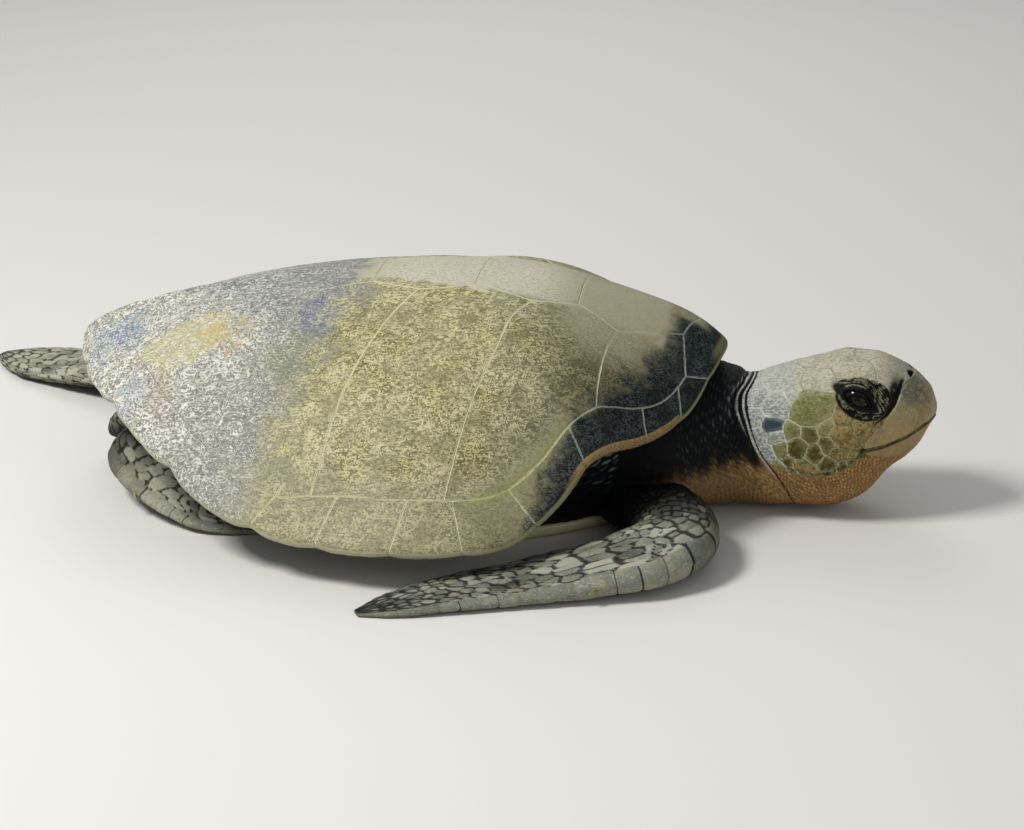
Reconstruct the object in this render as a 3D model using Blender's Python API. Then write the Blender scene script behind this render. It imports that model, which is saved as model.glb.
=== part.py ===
"""Olive ridley sea turtle, adult female, resting on her plastron: a still, life-size model.

Frame: metres, +Z up, the head towards +X, the animal's left side towards +Y, the origin on the floor
under the middle of the carapace.  The horny plates are separate solids laid out on one dome; the flesh
is trunk, neck, head, tail and four flippers, parted from the plates and from each other by thin cuts.
"""
import bmesh
import bpy
import numpy as np

# Driving dimensions ---------------------------------------------------------------------------------
SHELL_LENGTH = 0.66        # straight carapace length
SHELL_WIDTH = 0.60
CROWN = 0.229              # floor to the top of the carapace
WIDEST_AT = 0.042          # x of the widest line of the carapace
SCUTE = 0.007              # thickness of a horny plate
RIM_SCUTE = 0.011          # thickness of the marginal plates at the rim
GAP = 0.0008               # cut between two plates
SEAM_EASE = 0.0035         # extra reach of the marginals' inner seam, clear of the costals' straight edges
CUT = 0.0005               # cut between flesh and its neighbours
TRUNK_EASE = 0.0055        # extra depth of the trunk under the plates' straight-edged facets
EYE_RADIUS = 0.0155
EYE_AT = (0.459, 0.0415, 0.1295)   # centre of the left eyeball
BELLY_THICKNESS = 0.014    # plastron
BELLY_INSETS = (0.012, 0.002, 0.0, 0.004)   # the plastron's edge, drawn in at the flat, twice above, and on top
TRUNK_SPAN = (0.02, 0.3, 0.55, 0.72, 0.82, 0.885, 0.93)   # shares of the reach that the trunk's top follows
TRUNK_TUCK = 0.004         # how far the trunk's underside starts inside the plastron's outline, and under the rim
TRUNK_RISE = (0.96, 0.75, 0.45, 0.0)        # shares of the way from the plastron out to the rim
TRUNK_HOLLOW = 1.5         # exponent that hollows the trunk's underside
SHELL_CLEAR = 1.6          # cuts between the plates' undersides and the flesh under their straight facets

SIDES = {"right": -1.0, "left": 1.0}

# Height of the rim above the floor against the share of the half turn from nuchal (0) to tail (1): it
# is high over the neck, arched over the shoulder, low along the bridge and lifted over the hind limb.
RIM_HEIGHT = ((0.0, 0.162), (0.045, 0.158), (0.09, 0.146), (0.14, 0.123), (0.20, 0.114), (0.28, 0.112),
              (0.32, 0.075), (0.36, 0.048), (0.42, 0.041), (0.50, 0.041), (0.58, 0.042), (0.65, 0.054),
              (0.72, 0.086), (0.80, 0.114), (0.92, 0.124), (1.0, 0.138))

# Exponents of the dome's section, height = (1 - r^a)^b, towards the front, the side and the rear.
DOME_A = (3.19, 1.88, 1.13)
DOME_B = (1.07, 0.98, 0.50)
DOME_SOFT = 0.15           # rounds the crown, where the three sections meet
DOME_STEEP = 0.99          # keeps the slope at the rim finite
RIM_BULGE = (1.35, 1.32)   # exponents of the outline's front and rear halves

# Where the cross seams of the marginals meet the rim, and where they meet the costals.
RIM_SEAMS = (0.093, 0.155, 0.210, 0.287, 0.340, 0.416, 0.491, 0.555, 0.615, 0.705, 0.800, 0.900, 1.0)
INNER_SEAMS = (0.113, 0.130, 0.190, 0.287, 0.361, 0.425, 0.475, 0.546, 0.603, 0.695, 0.790, 0.895, 1.0)

# Distance of the costal-marginal seam from the centre, as a share of the rim's.
INNER_REACH = ((0.0, 0.87), (0.113, 0.935), (0.180, 0.928), (0.226, 0.888), (0.247, 0.874),
               (0.287, 0.884), (0.36, 0.886), (0.57, 0.892), (0.60, 0.914), (0.80, 0.88), (1.0, 0.85))

# Costal seams: where they leave the marginals, and where they reach the vertebrals.
COSTAL_ROOT = (0.113, 0.247, 0.434, 0.571, 0.685, 0.790, 0.895)
COSTAL_TIP_X = (0.287, 0.226, 0.143, 0.030, -0.068, -0.152, -0.232)
COSTAL_TIP_Y = (0.027, 0.062, 0.062, 0.056, 0.052, 0.050, 0.055)
COSTAL_BOW = (0.0, -0.004, -0.008, -0.010, -0.006, -0.004, 0.0)   # how far a costal seam bows back

# Vertebral seams on the midline, between the tips of the costal seams.
VERTEBRAL_X = (0.287, 0.186, 0.086, -0.018, -0.110, -0.192)
VERTEBRAL_HALF = (0.027, 0.047, 0.046, 0.041, 0.038, 0.040)

# Plan of the plastron: its radius about the widest line's centre against the share of the half turn,
# two lobes and the broad bridge between them.
BELLY_REACH = ((0.0, 0.222), (0.1, 0.216), (0.2, 0.198), (0.3, 0.186), (0.4, 0.196), (0.5, 0.208),
               (0.6, 0.202), (0.7, 0.174), (0.8, 0.166), (0.9, 0.208), (1.0, 0.262))

SURFACES = {}


# Smooth curves --------------------------------------------------------------------------------------
def smooth(knots, at):
    """Cubic through (place, value, ...) knots, level where the values turn back."""
    table = np.array(knots, float)
    place, values = table[:, 0], table[:, 1:]
    step = np.diff(place)[:, None]
    slope = np.diff(values, axis=0) / step
    tangent = np.concatenate([slope[:1], (slope[:-1] + slope[1:]) / 2, slope[-1:]])
    tangent[1:-1][slope[:-1] * slope[1:] <= 0] = 0
    at = np.clip(np.atleast_1d(at), place[0], place[-1])
    i = np.clip(np.searchsorted(place, at, side="right") - 1, 0, len(step) - 1)
    s = ((at - place[i]) / step[i, 0])[:, None]
    return ((1 + 2 * s) * (1 - s) ** 2 * values[i] + s * (1 - s) ** 2 * step[i] * tangent[i]
            + s * s * (3 - 2 * s) * values[i + 1] + s * s * (s - 1) * step[i] * tangent[i + 1])


def resample(points, count):
    """Points evenly spaced along a polyline, both ends kept."""
    points = np.array(points, float)
    run = np.concatenate([[0], np.cumsum(np.linalg.norm(np.diff(points, axis=0), axis=1))])
    at = np.linspace(0, run[-1], count)
    return np.stack([np.interp(at, run, points[:, k]) for k in range(points.shape[1])], axis=1)


# The dome of the carapace -----------------------------------------------------------------------------
def rim(share):
    """Plan of the rim, x and |y|, at a share of the half turn."""
    turn = np.pi * np.asarray(share, float)
    front = np.cos(turn) > 0
    reach = np.where(front, SHELL_LENGTH / 2 - WIDEST_AT, SHELL_LENGTH / 2 + WIDEST_AT)
    power = np.where(front, *RIM_BULGE)
    return WIDEST_AT + reach * np.cos(turn), SHELL_WIDTH / 2 * np.abs(np.sin(turn)) ** power


SHARES = np.linspace(0, 1, 1441)
RIM_X, RIM_Y = rim(SHARES)
RIM_ANGLE = np.arctan2(RIM_Y, RIM_X - WIDEST_AT)
RIM_RADIUS = np.hypot(RIM_X - WIDEST_AT, RIM_Y)


def spot(x, y):
    """Share of the half turn and share of the way to the rim, of a point in plan."""
    share = np.interp(np.arctan2(np.abs(y), np.asarray(x) - WIDEST_AT), RIM_ANGLE, SHARES)
    return share, np.hypot(np.asarray(x) - WIDEST_AT, y) / np.interp(share, SHARES, RIM_RADIUS)


def plan(share, reach, side=1.0):
    """The point in plan at a share of the half turn and a share of the way to the rim."""
    x, y = rim(share)
    return np.stack([WIDEST_AT + reach * (x - WIDEST_AT), side * reach * y], axis=-1)


def height(x, y):
    """Outer surface of the plates: the rim's height plus the dome's section in that direction."""
    share, reach = spot(x, y)
    along = np.cos(np.pi * share)
    weight = (np.maximum(along, 0) ** 2, 1 - along ** 2, np.maximum(-along, 0) ** 2)
    a = sum(w * v for w, v in zip(weight, DOME_A))
    b = sum(w * v for w, v in zip(weight, DOME_B))
    fall = ((np.minimum(reach, 1) ** 2 + DOME_SOFT ** 2) ** (a / 2) - DOME_SOFT ** a)
    fall = fall / ((1 + DOME_SOFT ** 2) ** (a / 2) - DOME_SOFT ** a)
    floor = (1 - DOME_STEEP) ** b
    rise = ((1 - DOME_STEEP * fall) ** b - floor) / (1 - floor)
    edge = smooth(RIM_HEIGHT, share.ravel())[:, 0].reshape(share.shape)
    return edge + (CROWN - edge) * rise


def thickness(reach):
    """Plates thicken towards the rim."""
    s = np.clip((reach - 0.85) / 0.15, 0, 1)
    return SCUTE + (RIM_SCUTE - SCUTE) * s * s * (3 - 2 * s)


def shell_points(flat, depth):
    """Points a given depth under the plates' outer surface, along its normal."""
    x, y = flat[..., 0], flat[..., 1]
    step = 0.002
    pull = 0.994
    inner_x = WIDEST_AT + pull * (x - WIDEST_AT)
    inner_y = pull * y
    dx = (height(inner_x + step, inner_y) - height(inner_x - step, inner_y)) / (2 * step)
    dy = (height(inner_x, inner_y + step) - height(inner_x, inner_y - step)) / (2 * step)
    normal = np.stack([-dx, -dy, np.ones_like(dx)], axis=-1)
    normal /= np.linalg.norm(normal, axis=-1, keepdims=True)
    top = np.stack([x, y, height(x, y)], axis=-1)
    return top - np.asarray(depth)[..., None] * normal


# Meshes -----------------------------------------------------------------------------------------------
def build(name, verts, faces, surface):
    """One closed object in world coordinates, faces outwards, shaded smooth.

    Quads are split the same way on a piece and on its cutter, so that the cut between them stays even.
    """
    mesh = bpy.data.meshes.new(name)
    mesh.from_pydata([tuple(map(float, v)) for v in verts], [], faces)
    work = bmesh.new()
    work.from_mesh(mesh)
    bmesh.ops.remove_doubles(work, verts=work.verts, dist=1e-6)
    bmesh.ops.recalc_face_normals(work, faces=work.faces)
    bmesh.ops.triangulate(work, faces=work.faces, quad_method="FIXED", ngon_method="BEAUTY")
    work.to_mesh(mesh)
    work.free()
    mesh.shade_smooth()
    mesh.set_sharp_from_angle(angle=0.6)
    mesh.materials.append(SURFACES[surface])
    made = bpy.data.objects.new(name, mesh)
    bpy.context.scene.collection.objects.link(made)
    return made


def guide(made):
    """A cutter: it is left out of the model."""
    made.hide_render = True
    made.display_type = "WIRE"
    return made


def boolean(made, other, kind="DIFFERENCE"):
    change = made.modifiers.new(kind.lower(), "BOOLEAN")
    change.operation = kind
    change.object = other
    return made


def quads(rows, columns, closed):
    """Faces of a grid of rows x columns, its columns joined round if closed."""
    faces = []
    for r in range(rows - 1):
        for c in range(columns if closed else columns - 1):
            d = (c + 1) % columns
            face = (r * columns + c, r * columns + d, (r + 1) * columns + d, (r + 1) * columns + c)
            faces.append(face)
    return faces


def loft(name, rings, surface):
    """A closed solid through rings of points, its two ends filled flat."""
    rings = np.asarray(rings)
    rows, columns = rings.shape[:2]
    faces = quads(rows, columns, True)
    faces.append(tuple(range(columns))[::-1])
    faces.append(tuple(range((rows - 1) * columns, rows * columns)))
    return build(name, rings.reshape(-1, 3), faces, surface)


def plate(name, low, high, left, right, rows, columns, surface):
    """A horny plate over a four-sided patch of the dome, blended from its four borders in plan."""
    low, high = resample(low, columns), resample(high, columns)
    left, right = resample(left, rows), resample(right, rows)
    u = np.linspace(0, 1, columns)[None, :, None]
    v = np.linspace(0, 1, rows)[:, None, None]
    flat = ((1 - v) * low[None] + v * high[None] + (1 - u) * left[:, None] + u * right[:, None]
            - (1 - u) * (1 - v) * low[0] - u * (1 - v) * low[-1] - (1 - u) * v * high[0] - u * v * high[-1])
    reach = spot(flat[..., 0], flat[..., 1])[1]
    top = shell_points(flat, np.zeros(reach.shape))
    under = shell_points(flat, thickness(reach))
    on_rim = reach > 0.9995
    for layer in (top, under):
        whole = layer.copy()
        for edge, inner in ((0, 1), (-1, -2)):
            for axis in (0, 1):
                border = np.take(whole, edge, axis=axis)
                pull = np.take(whole, inner, axis=axis) - border
                pull *= GAP / 2 / np.linalg.norm(pull, axis=-1, keepdims=True)
                free = np.take(on_rim, edge, axis=axis)
                pull[free] = 0 if free.all() else pull[free]
                if axis == 0:
                    layer[edge] += pull
                else:
                    layer[:, edge] += pull
    count = rows * columns
    faces = quads(rows, columns, False)
    faces += [tuple(i + count for i in face)[::-1] for face in quads(rows, columns, False)]
    ring = ([c for c in range(columns)] + [r * columns + columns - 1 for r in range(1, rows)]
            + [(rows - 1) * columns + c for c in range(columns - 2, -1, -1)]
            + [r * columns for r in range(rows - 2, 0, -1)])
    for a, b in zip(ring, ring[1:] + ring[:1]):
        faces.append((a, a + count, b + count, b))
    return build(name, np.concatenate([top.reshape(-1, 3), under.reshape(-1, 3)]), faces, surface)


# The horny plates ---------------------------------------------------------------------------------------
def inner_seam(start, end, side, count=13, ease=0.0):
    """The costal-marginal seam between two shares of the half turn."""
    share = np.linspace(start, end, count)
    return plan(share, smooth(INNER_REACH, share)[:, 0] + ease, side)


def outer_rim(start, end, side, count=13):
    return plan(np.linspace(start, end, count), 1.0, side)


def costal_seam(number, side):
    """From the marginals up to the vertebrals, bowed a little backwards."""
    root = inner_seam(COSTAL_ROOT[number], COSTAL_ROOT[number], side, 1)[0]
    tip = np.array([COSTAL_TIP_X[number], side * COSTAL_TIP_Y[number]])
    s = np.linspace(0, 1, 9)[:, None]
    return root + (tip - root) * s + np.array([COSTAL_BOW[number], 0]) * np.sin(np.pi * s)


def vertebral_side(number, side):
    """A vertebral's side: front corner, the tip where a costal seam arrives, rear corner."""
    corners = [(VERTEBRAL_X[number], side * VERTEBRAL_HALF[number])]
    corners.append((COSTAL_TIP_X[number + 1], side * COSTAL_TIP_Y[number + 1]))
    if number + 1 < len(VERTEBRAL_X):
        corners.append((VERTEBRAL_X[number + 1], side * VERTEBRAL_HALF[number + 1]))
    else:
        corners.append(tuple(inner_seam(COSTAL_ROOT[-1], COSTAL_ROOT[-1], side, 1)[0]))
    return np.array(corners)


def make_nuchal():
    half = RIM_SEAMS[0]
    front = np.concatenate([outer_rim(half, 0, -1, 7), outer_rim(0, half, 1, 7)[1:]])
    corner = {side: inner_seam(COSTAL_ROOT[0], COSTAL_ROOT[0], side, 1)[0] for side in (-1, 1)}
    rear = [corner[-1], (COSTAL_TIP_X[0], -COSTAL_TIP_Y[0]), (COSTAL_TIP_X[0], COSTAL_TIP_Y[0]), corner[1]]
    plate("nuchal", rear, front, [rear[0], front[0]], [rear[-1], front[-1]], 4, 9, "carapace")


def make_vertebrals():
    last = len(VERTEBRAL_X) - 1
    for number in range(last + 1):
        right, left = vertebral_side(number, -1), vertebral_side(number, 1)
        rear = [right[-1], left[-1]]
        if number == last:
            rear = np.concatenate([inner_seam(COSTAL_ROOT[-1], 1, -1), inner_seam(1, COSTAL_ROOT[-1], 1)[1:]])
        plate(f"vertebral_{number + 1}", right[::-1], left[::-1], rear, [right[0], left[0]], 6, 5, "carapace")


def make_costals(word, side):
    for number in range(len(COSTAL_ROOT) - 1):
        front, rear = costal_seam(number, side), costal_seam(number + 1, side)
        if number == 0:
            middle = [front[-1], rear[-1]]
        else:
            middle = [front[-1], (VERTEBRAL_X[number], side * VERTEBRAL_HALF[number]), rear[-1]]
        outer = inner_seam(COSTAL_ROOT[number], COSTAL_ROOT[number + 1], side)
        plate(f"costal_{word}_{number + 1}", outer, middle, front, rear, 5, 6, "carapace")


def make_marginals(word, side):
    for number in range(len(RIM_SEAMS) - 1):
        outer = outer_rim(RIM_SEAMS[number], RIM_SEAMS[number + 1], side)
        inner = inner_seam(INNER_SEAMS[number], INNER_SEAMS[number + 1], side, ease=SEAM_EASE)
        plate(f"marginal_{word}_{number + 1}", outer, inner, [outer[0], inner[0]], [outer[-1], inner[-1]],
              3, 5, "marginal")


# Underside and trunk -------------------------------------------------------------------------------------
def belly_radius(angle):
    """Radius of the plastron's outline about the widest line's centre."""
    share = np.abs((angle + np.pi) % (2 * np.pi) - np.pi) / np.pi
    return smooth(BELLY_REACH, share)[:, 0]


def plastron_rings(grow):
    """A flat-bottomed plate with rounded edges: its flat is what the animal lies on."""
    turn = np.linspace(0, 2 * np.pi, 40, endpoint=False)
    rings = []
    levels = (-grow, 0.3 * BELLY_THICKNESS, 0.7 * BELLY_THICKNESS, BELLY_THICKNESS + grow)
    for z, inset in zip(levels, BELLY_INSETS):
        radius = belly_radius(turn) - inset + grow
        flat = np.stack([WIDEST_AT + radius * np.cos(turn), radius * np.sin(turn)], axis=1)
        rings.append(np.column_stack([flat, np.full(len(turn), z)]))
    return rings


def trunk_rings(grow):
    """The trunk under the plates: its top follows them, its underside rises from the plastron to the rim."""
    turn = np.linspace(0, 2, 40, endpoint=False)
    share, side = np.minimum(turn, 2 - turn), np.where(turn <= 1, 1.0, -1.0)
    rings = []
    for reach in TRUNK_SPAN[:-1] + (TRUNK_SPAN[-1] + grow * 3,):
        flat = plan(share, np.full_like(share, reach))
        flat[:, 1] *= side
        rings.append(shell_points(flat, thickness(np.full_like(share, reach)) + CUT + TRUNK_EASE - grow))
    rim_ring = rings[-1]
    ray = np.arctan2(rim_ring[:, 1], rim_ring[:, 0] - WIDEST_AT)
    belly = belly_radius(ray)
    far = np.hypot(rim_ring[:, 0] - WIDEST_AT, rim_ring[:, 1])
    low = BELLY_THICKNESS + CUT - grow
    for s in TRUNK_RISE:
        out = belly - TRUNK_TUCK + (far - belly + TRUNK_TUCK) * s
        z = low + (rim_ring[:, 2] - low - TRUNK_TUCK) * s ** TRUNK_HOLLOW - grow * s
        rings.append(np.stack([WIDEST_AT + out * np.cos(ray), out * np.sin(ray), z], axis=1))
    return rings


def shell_cutter():
    """The space that the plates take, grown by a cut, and all that lies above it."""
    turn = np.linspace(0, 2, 64, endpoint=False)
    share, side = np.minimum(turn, 2 - turn), np.where(turn <= 1, 1.0, -1.0)
    rings = []
    for reach in (0.02, 0.3, 0.55, 0.75, 0.87, 0.94, 1.0):
        flat = plan(share, np.full_like(share, reach))
        flat[:, 1] *= side
        rings.append(shell_points(flat, thickness(np.full_like(share, reach)) + SHELL_CLEAR * CUT))
    out = rings[-1].copy()
    out[:, :2] = plan(share, 1.006)
    out[:, 1] *= side
    rings.append(out)
    top = out.copy()
    top[:, 2] = CROWN + 0.05
    rings.append(top)
    return guide(loft("cut_shell", rings, "skin_dark"))


# Flesh ------------------------------------------------------------------------------------------------
def section(centre, across, up, half_width, above, below, power, count=20):
    """An oval ring: above and below are its half heights, power 1 is an ellipse, less is squarer."""
    turn = np.linspace(0, 2 * np.pi, count, endpoint=False)
    c, s = np.cos(turn), np.sin(turn)
    wide = np.sign(c) * np.abs(c) ** power * half_width
    tall = np.sign(s) * np.abs(s) ** power * np.where(s > 0, above, below)
    return centre + wide[:, None] * across + tall[:, None] * up


def body_loft(name, knots, surface, rows, grow=0.0, power=0.9, count=20):
    """A loft along X: knots are x, top, bottom, half width and the height of the widest line."""
    x = np.linspace(knots[0][0], knots[-1][0], rows)
    top, low, half, mid = smooth(knots, x).T
    x[0] -= grow
    x[-1] += grow
    rings = [section(np.array([x[i], 0, mid[i]]), np.array([0, 1.0, 0]), np.array([0, 0, 1.0]), half[i] + grow,
                     top[i] - mid[i] + grow, mid[i] - low[i] + grow, power, count) for i in range(rows)]
    return loft(name, rings, surface)


# x, top, bottom, half width, height of the widest line
HEAD_FORM = ((0.338, 0.118, 0.046, 0.036, 0.084), (0.352, 0.129, 0.026, 0.050, 0.082),
             (0.370, 0.137, 0.013, 0.060, 0.082), (0.395, 0.146, 0.006, 0.065, 0.083),
             (0.420, 0.154, 0.005, 0.066, 0.086), (0.448, 0.162, 0.010, 0.063, 0.090),
             (0.470, 0.162, 0.023, 0.057, 0.094), (0.490, 0.156, 0.048, 0.048, 0.098),
             (0.508, 0.147, 0.063, 0.037, 0.101), (0.520, 0.137, 0.078, 0.027, 0.103),
             (0.527, 0.129, 0.093, 0.019, 0.104), (0.533, 0.114, 0.102, 0.005, 0.107))
NECK_FORM = ((0.245, 0.138, 0.016, 0.125, 0.082), (0.280, 0.139, 0.008, 0.118, 0.078),
             (0.310, 0.137, 0.004, 0.094, 0.074), (0.338, 0.134, 0.004, 0.071, 0.074),
             (0.362, 0.136, 0.004, 0.064, 0.074), (0.374, 0.137, 0.006, 0.062, 0.074))

# The mouth's line and the upper beak's border, in the plane y = 0.
MOUTH = ((0.545, 0.112), (0.522, 0.100), (0.507, 0.092), (0.487, 0.085), (0.467, 0.082))
UPPER_BEAK = ((0.467, 0.090), (0.482, 0.106), (0.496, 0.124), (0.502, 0.142), (0.545, 0.160))
LOWER_BEAK = ((0.467, 0.076), (0.485, 0.072), (0.505, 0.066), (0.545, 0.060))


def prism(name, outline, half):
    """A solid of an outline in X and Z, from y = -half to +half."""
    rings = [[(x, y, z) for x, z in outline] for y in (-half, half)]
    return guide(loft(name, rings, "horn"))


def shifted(line, dz):
    return tuple((x, z + dz) for x, z in line)


def make_head():
    """Head, beak and eyes: the beak is parted from the head along the mouth and the beak's border."""
    upper = prism("cut_upper", shifted(MOUTH, CUT / 2) + shifted(UPPER_BEAK, -CUT / 2), 0.1)
    lower = prism("cut_lower", shifted(MOUTH, -CUT / 2) + shifted(LOWER_BEAK, CUT / 2), 0.1)
    both = ((MOUTH[-1][0] - CUT, MOUTH[-1][1]),) + shifted(UPPER_BEAK, CUT / 2)
    both += tuple(reversed(shifted(LOWER_BEAK, -CUT / 2)))
    gone = prism("cut_beak", both, 0.11)
    for name, cutter in (("beak_upper", upper), ("beak_lower", lower)):
        boolean(body_loft(name, HEAD_FORM, "horn", 18), cutter, "INTERSECT")
    head = boolean(body_loft("head", HEAD_FORM, "skin_pale", 18), gone)
    for word, side in SIDES.items():
        centre = np.array([EYE_AT[0], side * EYE_AT[1], EYE_AT[2]])
        ball("eye_" + word, centre, EYE_RADIUS, "eye")
        boolean(head, guide(ball("cut_eye_" + word, centre, EYE_RADIUS + CUT, "eye")))


def ball(name, centre, radius, surface):
    work = bmesh.new()
    bmesh.ops.create_uvsphere(work, u_segments=12, v_segments=6, radius=radius)
    verts = [np.array(v.co) + centre for v in work.verts]
    faces = [tuple(v.index for v in f.verts) for f in work.faces]
    work.free()
    return build(name, verts, faces, surface)


def limb_frame(path, form, at):
    """Centre, sideways and upward directions, half width and half thickness along a limb's smooth path."""
    knots = [(i / (len(path) - 1),) + tuple(p) for i, p in enumerate(path)]
    centre = smooth(knots, at)
    ahead = smooth(knots, at + 0.01) - smooth(knots, at - 0.01)
    ahead /= np.linalg.norm(ahead, axis=1, keepdims=True)
    across = np.cross([0, 0, 1.0], ahead)
    across /= np.linalg.norm(across, axis=1, keepdims=True)
    half, thick = smooth(form, at).T
    return centre, ahead, across, np.cross(ahead, across), half, thick


def limb(name, path, form, surface, rows=15, count=14, grow=0.0):
    centre, _, across, up, half, thick = limb_frame(path, form, np.linspace(0, 1, rows))
    half, thick = half + grow, thick + grow
    centre[0] -= (centre[1] - centre[0]) * grow / np.linalg.norm(centre[1] - centre[0])
    centre[-1] += (centre[-1] - centre[-2]) * grow / np.linalg.norm(centre[-1] - centre[-2])
    rings = [section(centre[i], across[i], up[i], half[i], thick[i], thick[i], 0.95, count) for i in range(rows)]
    return loft(name, rings, surface)


def claw(name, path, form, at, side, grow=0.0):
    """A small curved cone out of the leading edge, pointing outwards and on towards the tip."""
    centre, ahead, across, _, half, _ = limb_frame(path, form, np.array([at]))
    out = side * across[0]
    root = centre[0] + out * (half[0] - 0.005)
    rings = []
    for s, radius in ((0.0, 0.0034), (0.4, 0.0032), (0.75, 0.0020), (1.0, 0.0006)):
        at_s = root + CLAW_LENGTH * (out * (s - 0.35 * s * s) + ahead[0] * 0.5 * s * s)
        rings.append(section(at_s, ahead[0], np.array([0, 0, 1.0]), radius + grow, radius + grow,
                             radius + grow, 1.0, 8))
    return loft(name, rings, "horn")


FRONT_FORM = ((0.0, 0.036, 0.026), (0.2, 0.042, 0.026), (0.36, 0.040, 0.026), (0.52, 0.045, 0.021),
              (0.7, 0.043, 0.011), (0.85, 0.034, 0.007), (0.95, 0.021, 0.004), (1.0, 0.006, 0.0018))
HIND_FORM = ((0.0, 0.032, 0.028), (0.3, 0.031, 0.026), (0.55, 0.044, 0.014), (0.8, 0.050, 0.008),
             (0.94, 0.030, 0.005), (1.0, 0.009, 0.0018))
FRONT_PATH = {
    "right": ((0.235, -0.085, 0.036), (0.281, -0.126, 0.029), (0.301, -0.188, 0.029), (0.270, -0.228, 0.023),
              (0.195, -0.256, 0.011), (0.110, -0.296, 0.007), (0.030, -0.345, 0.002)),
    "left": ((0.225, 0.085, 0.036), (0.264, 0.138, 0.029), (0.272, 0.202, 0.029), (0.228, 0.243, 0.022),
             (0.150, 0.275, 0.011), (0.065, 0.318, 0.007), (-0.015, 0.362, 0.002)),
}
HIND_PATH = {
    "right": ((-0.172, -0.050, 0.058), (-0.226, -0.045, 0.050), (-0.246, -0.074, 0.040), (-0.212, -0.106, 0.023),
              (-0.158, -0.134, 0.010), (-0.100, -0.166, 0.002)),
    "left": ((-0.160, 0.105, 0.055), (-0.245, 0.146, 0.042), (-0.330, 0.194, 0.026), (-0.425, 0.246, 0.011),
             (-0.525, 0.300, 0.002)),
}
CLAW_AT = 0.60             # share of the way down a limb, on its leading edge
CLAW_LENGTH = 0.016
LEADING_SIDE = {("front", "right"): 1, ("front", "left"): -1, ("hind", "right"): -1, ("hind", "left"): -1}


def flatten(made):
    """Trims what would reach under the floor, which leaves a small flat to rest on."""
    work = bmesh.new()
    work.from_mesh(made.data)
    everything = work.verts[:] + work.edges[:] + work.faces[:]
    cut = bmesh.ops.bisect_plane(work, geom=everything, plane_co=(0, 0, 0), plane_no=(0, 0, 1), clear_inner=True)
    rim_edges = [e for e in cut["geom_cut"] if isinstance(e, bmesh.types.BMEdge)]
    if rim_edges:
        bmesh.ops.contextual_create(work, geom=rim_edges)
    bmesh.ops.recalc_face_normals(work, faces=work.faces)
    work.to_mesh(made.data)
    work.free()
    return made


def make_flippers(word, body_cutters, front_cutter, rear_cutter):
    """Each flipper is cut clear of the trunk and plates, and of the neck or the tail next to it."""
    for kind, paths, form in (("front", FRONT_PATH, FRONT_FORM), ("hind", HIND_PATH, HIND_FORM)):
        path = paths[word]
        made = flatten(limb(f"{kind}_flipper_{word}", path, form, "skin_scaled"))
        leading = LEADING_SIDE[kind, word]
        claw(f"claw_{kind}_{word}", path, form, CLAW_AT, leading)
        boolean(made, guide(claw(f"cut_claw_{kind}_{word}", path, form, CLAW_AT, leading, CUT)))
        for cutter in body_cutters + (front_cutter if kind == "front" else rear_cutter,):
            boolean(made, cutter)


def make_tail(cutters):
    """The short tail, bent a little to the left; returns the cutter that keeps its neighbours clear."""
    path = ((-0.215, 0.0, 0.060), (-0.258, 0.004, 0.050), (-0.290, 0.012, 0.037), (-0.312, 0.022, 0.022))
    form = ((0.0, 0.034, 0.026), (0.5, 0.026, 0.020), (0.85, 0.014, 0.011), (1.0, 0.005, 0.004))
    made = limb("tail", path, form, "skin_dark", 8, 12)
    for cutter in cutters:
        boolean(made, cutter)
    return guide(limb("cut_tail", path, form, "skin_dark", 8, 12, CUT))


def make_surfaces():
    table = {"carapace": ((0.16, 0.17, 0.10), 0.55), "marginal": ((0.22, 0.24, 0.16), 0.5),
             "plastron": ((0.62, 0.58, 0.40), 0.5), "skin_pale": ((0.30, 0.31, 0.26), 0.6),
             "skin_dark": ((0.05, 0.06, 0.07), 0.65), "skin_scaled": ((0.12, 0.14, 0.14), 0.6),
             "horn": ((0.50, 0.44, 0.26), 0.35), "eye": ((0.02, 0.02, 0.02), 0.08)}
    for name, (colour, roughness) in table.items():
        surface = bpy.data.materials.new(name)
        surface.use_nodes = True
        shader = surface.node_tree.nodes["Principled BSDF"]
        shader.inputs["Base Color"].default_value = colour + (1.0,)
        shader.inputs["Roughness"].default_value = roughness
        SURFACES[name] = surface


def main():
    for old in list(bpy.data.objects):
        bpy.data.objects.remove(old, do_unlink=True)
    make_surfaces()
    make_nuchal()
    make_vertebrals()
    for word, side in SIDES.items():
        make_costals(word, side)
        make_marginals(word, side)
    loft("plastron", plastron_rings(0.0), "plastron")
    loft("trunk", trunk_rings(0.0), "skin_dark")
    trunk_cut = guide(loft("cut_trunk", trunk_rings(CUT), "skin_dark"))
    plastron_cut = guide(loft("cut_plastron", plastron_rings(CUT), "plastron"))
    cutters = (trunk_cut, shell_cutter(), plastron_cut)
    make_head()
    neck = body_loft("neck", NECK_FORM, "skin_dark", 9)
    neck_cut = guide(body_loft("cut_neck", NECK_FORM, "skin_dark", 9, grow=CUT))
    for cutter in cutters:
        boolean(neck, cutter)
    boolean(neck, guide(body_loft("cut_head", HEAD_FORM, "skin_pale", 18, grow=CUT)))
    tail_cut = make_tail(cutters)
    for word in SIDES:
        make_flippers(word, cutters, neck_cut, tail_cut)


main()
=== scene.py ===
"""Olive ridley sea turtle, adult female at rest: the looks of a still, life-size museum model.

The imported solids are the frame.  Every horny plate gets a finely worked surface of its own, one skin
stands for all the flesh, and the beak, eyes and claws are separate pieces.  Metres, +Z up, head to +X.
"""
from functools import partial
from itertools import product

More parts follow.
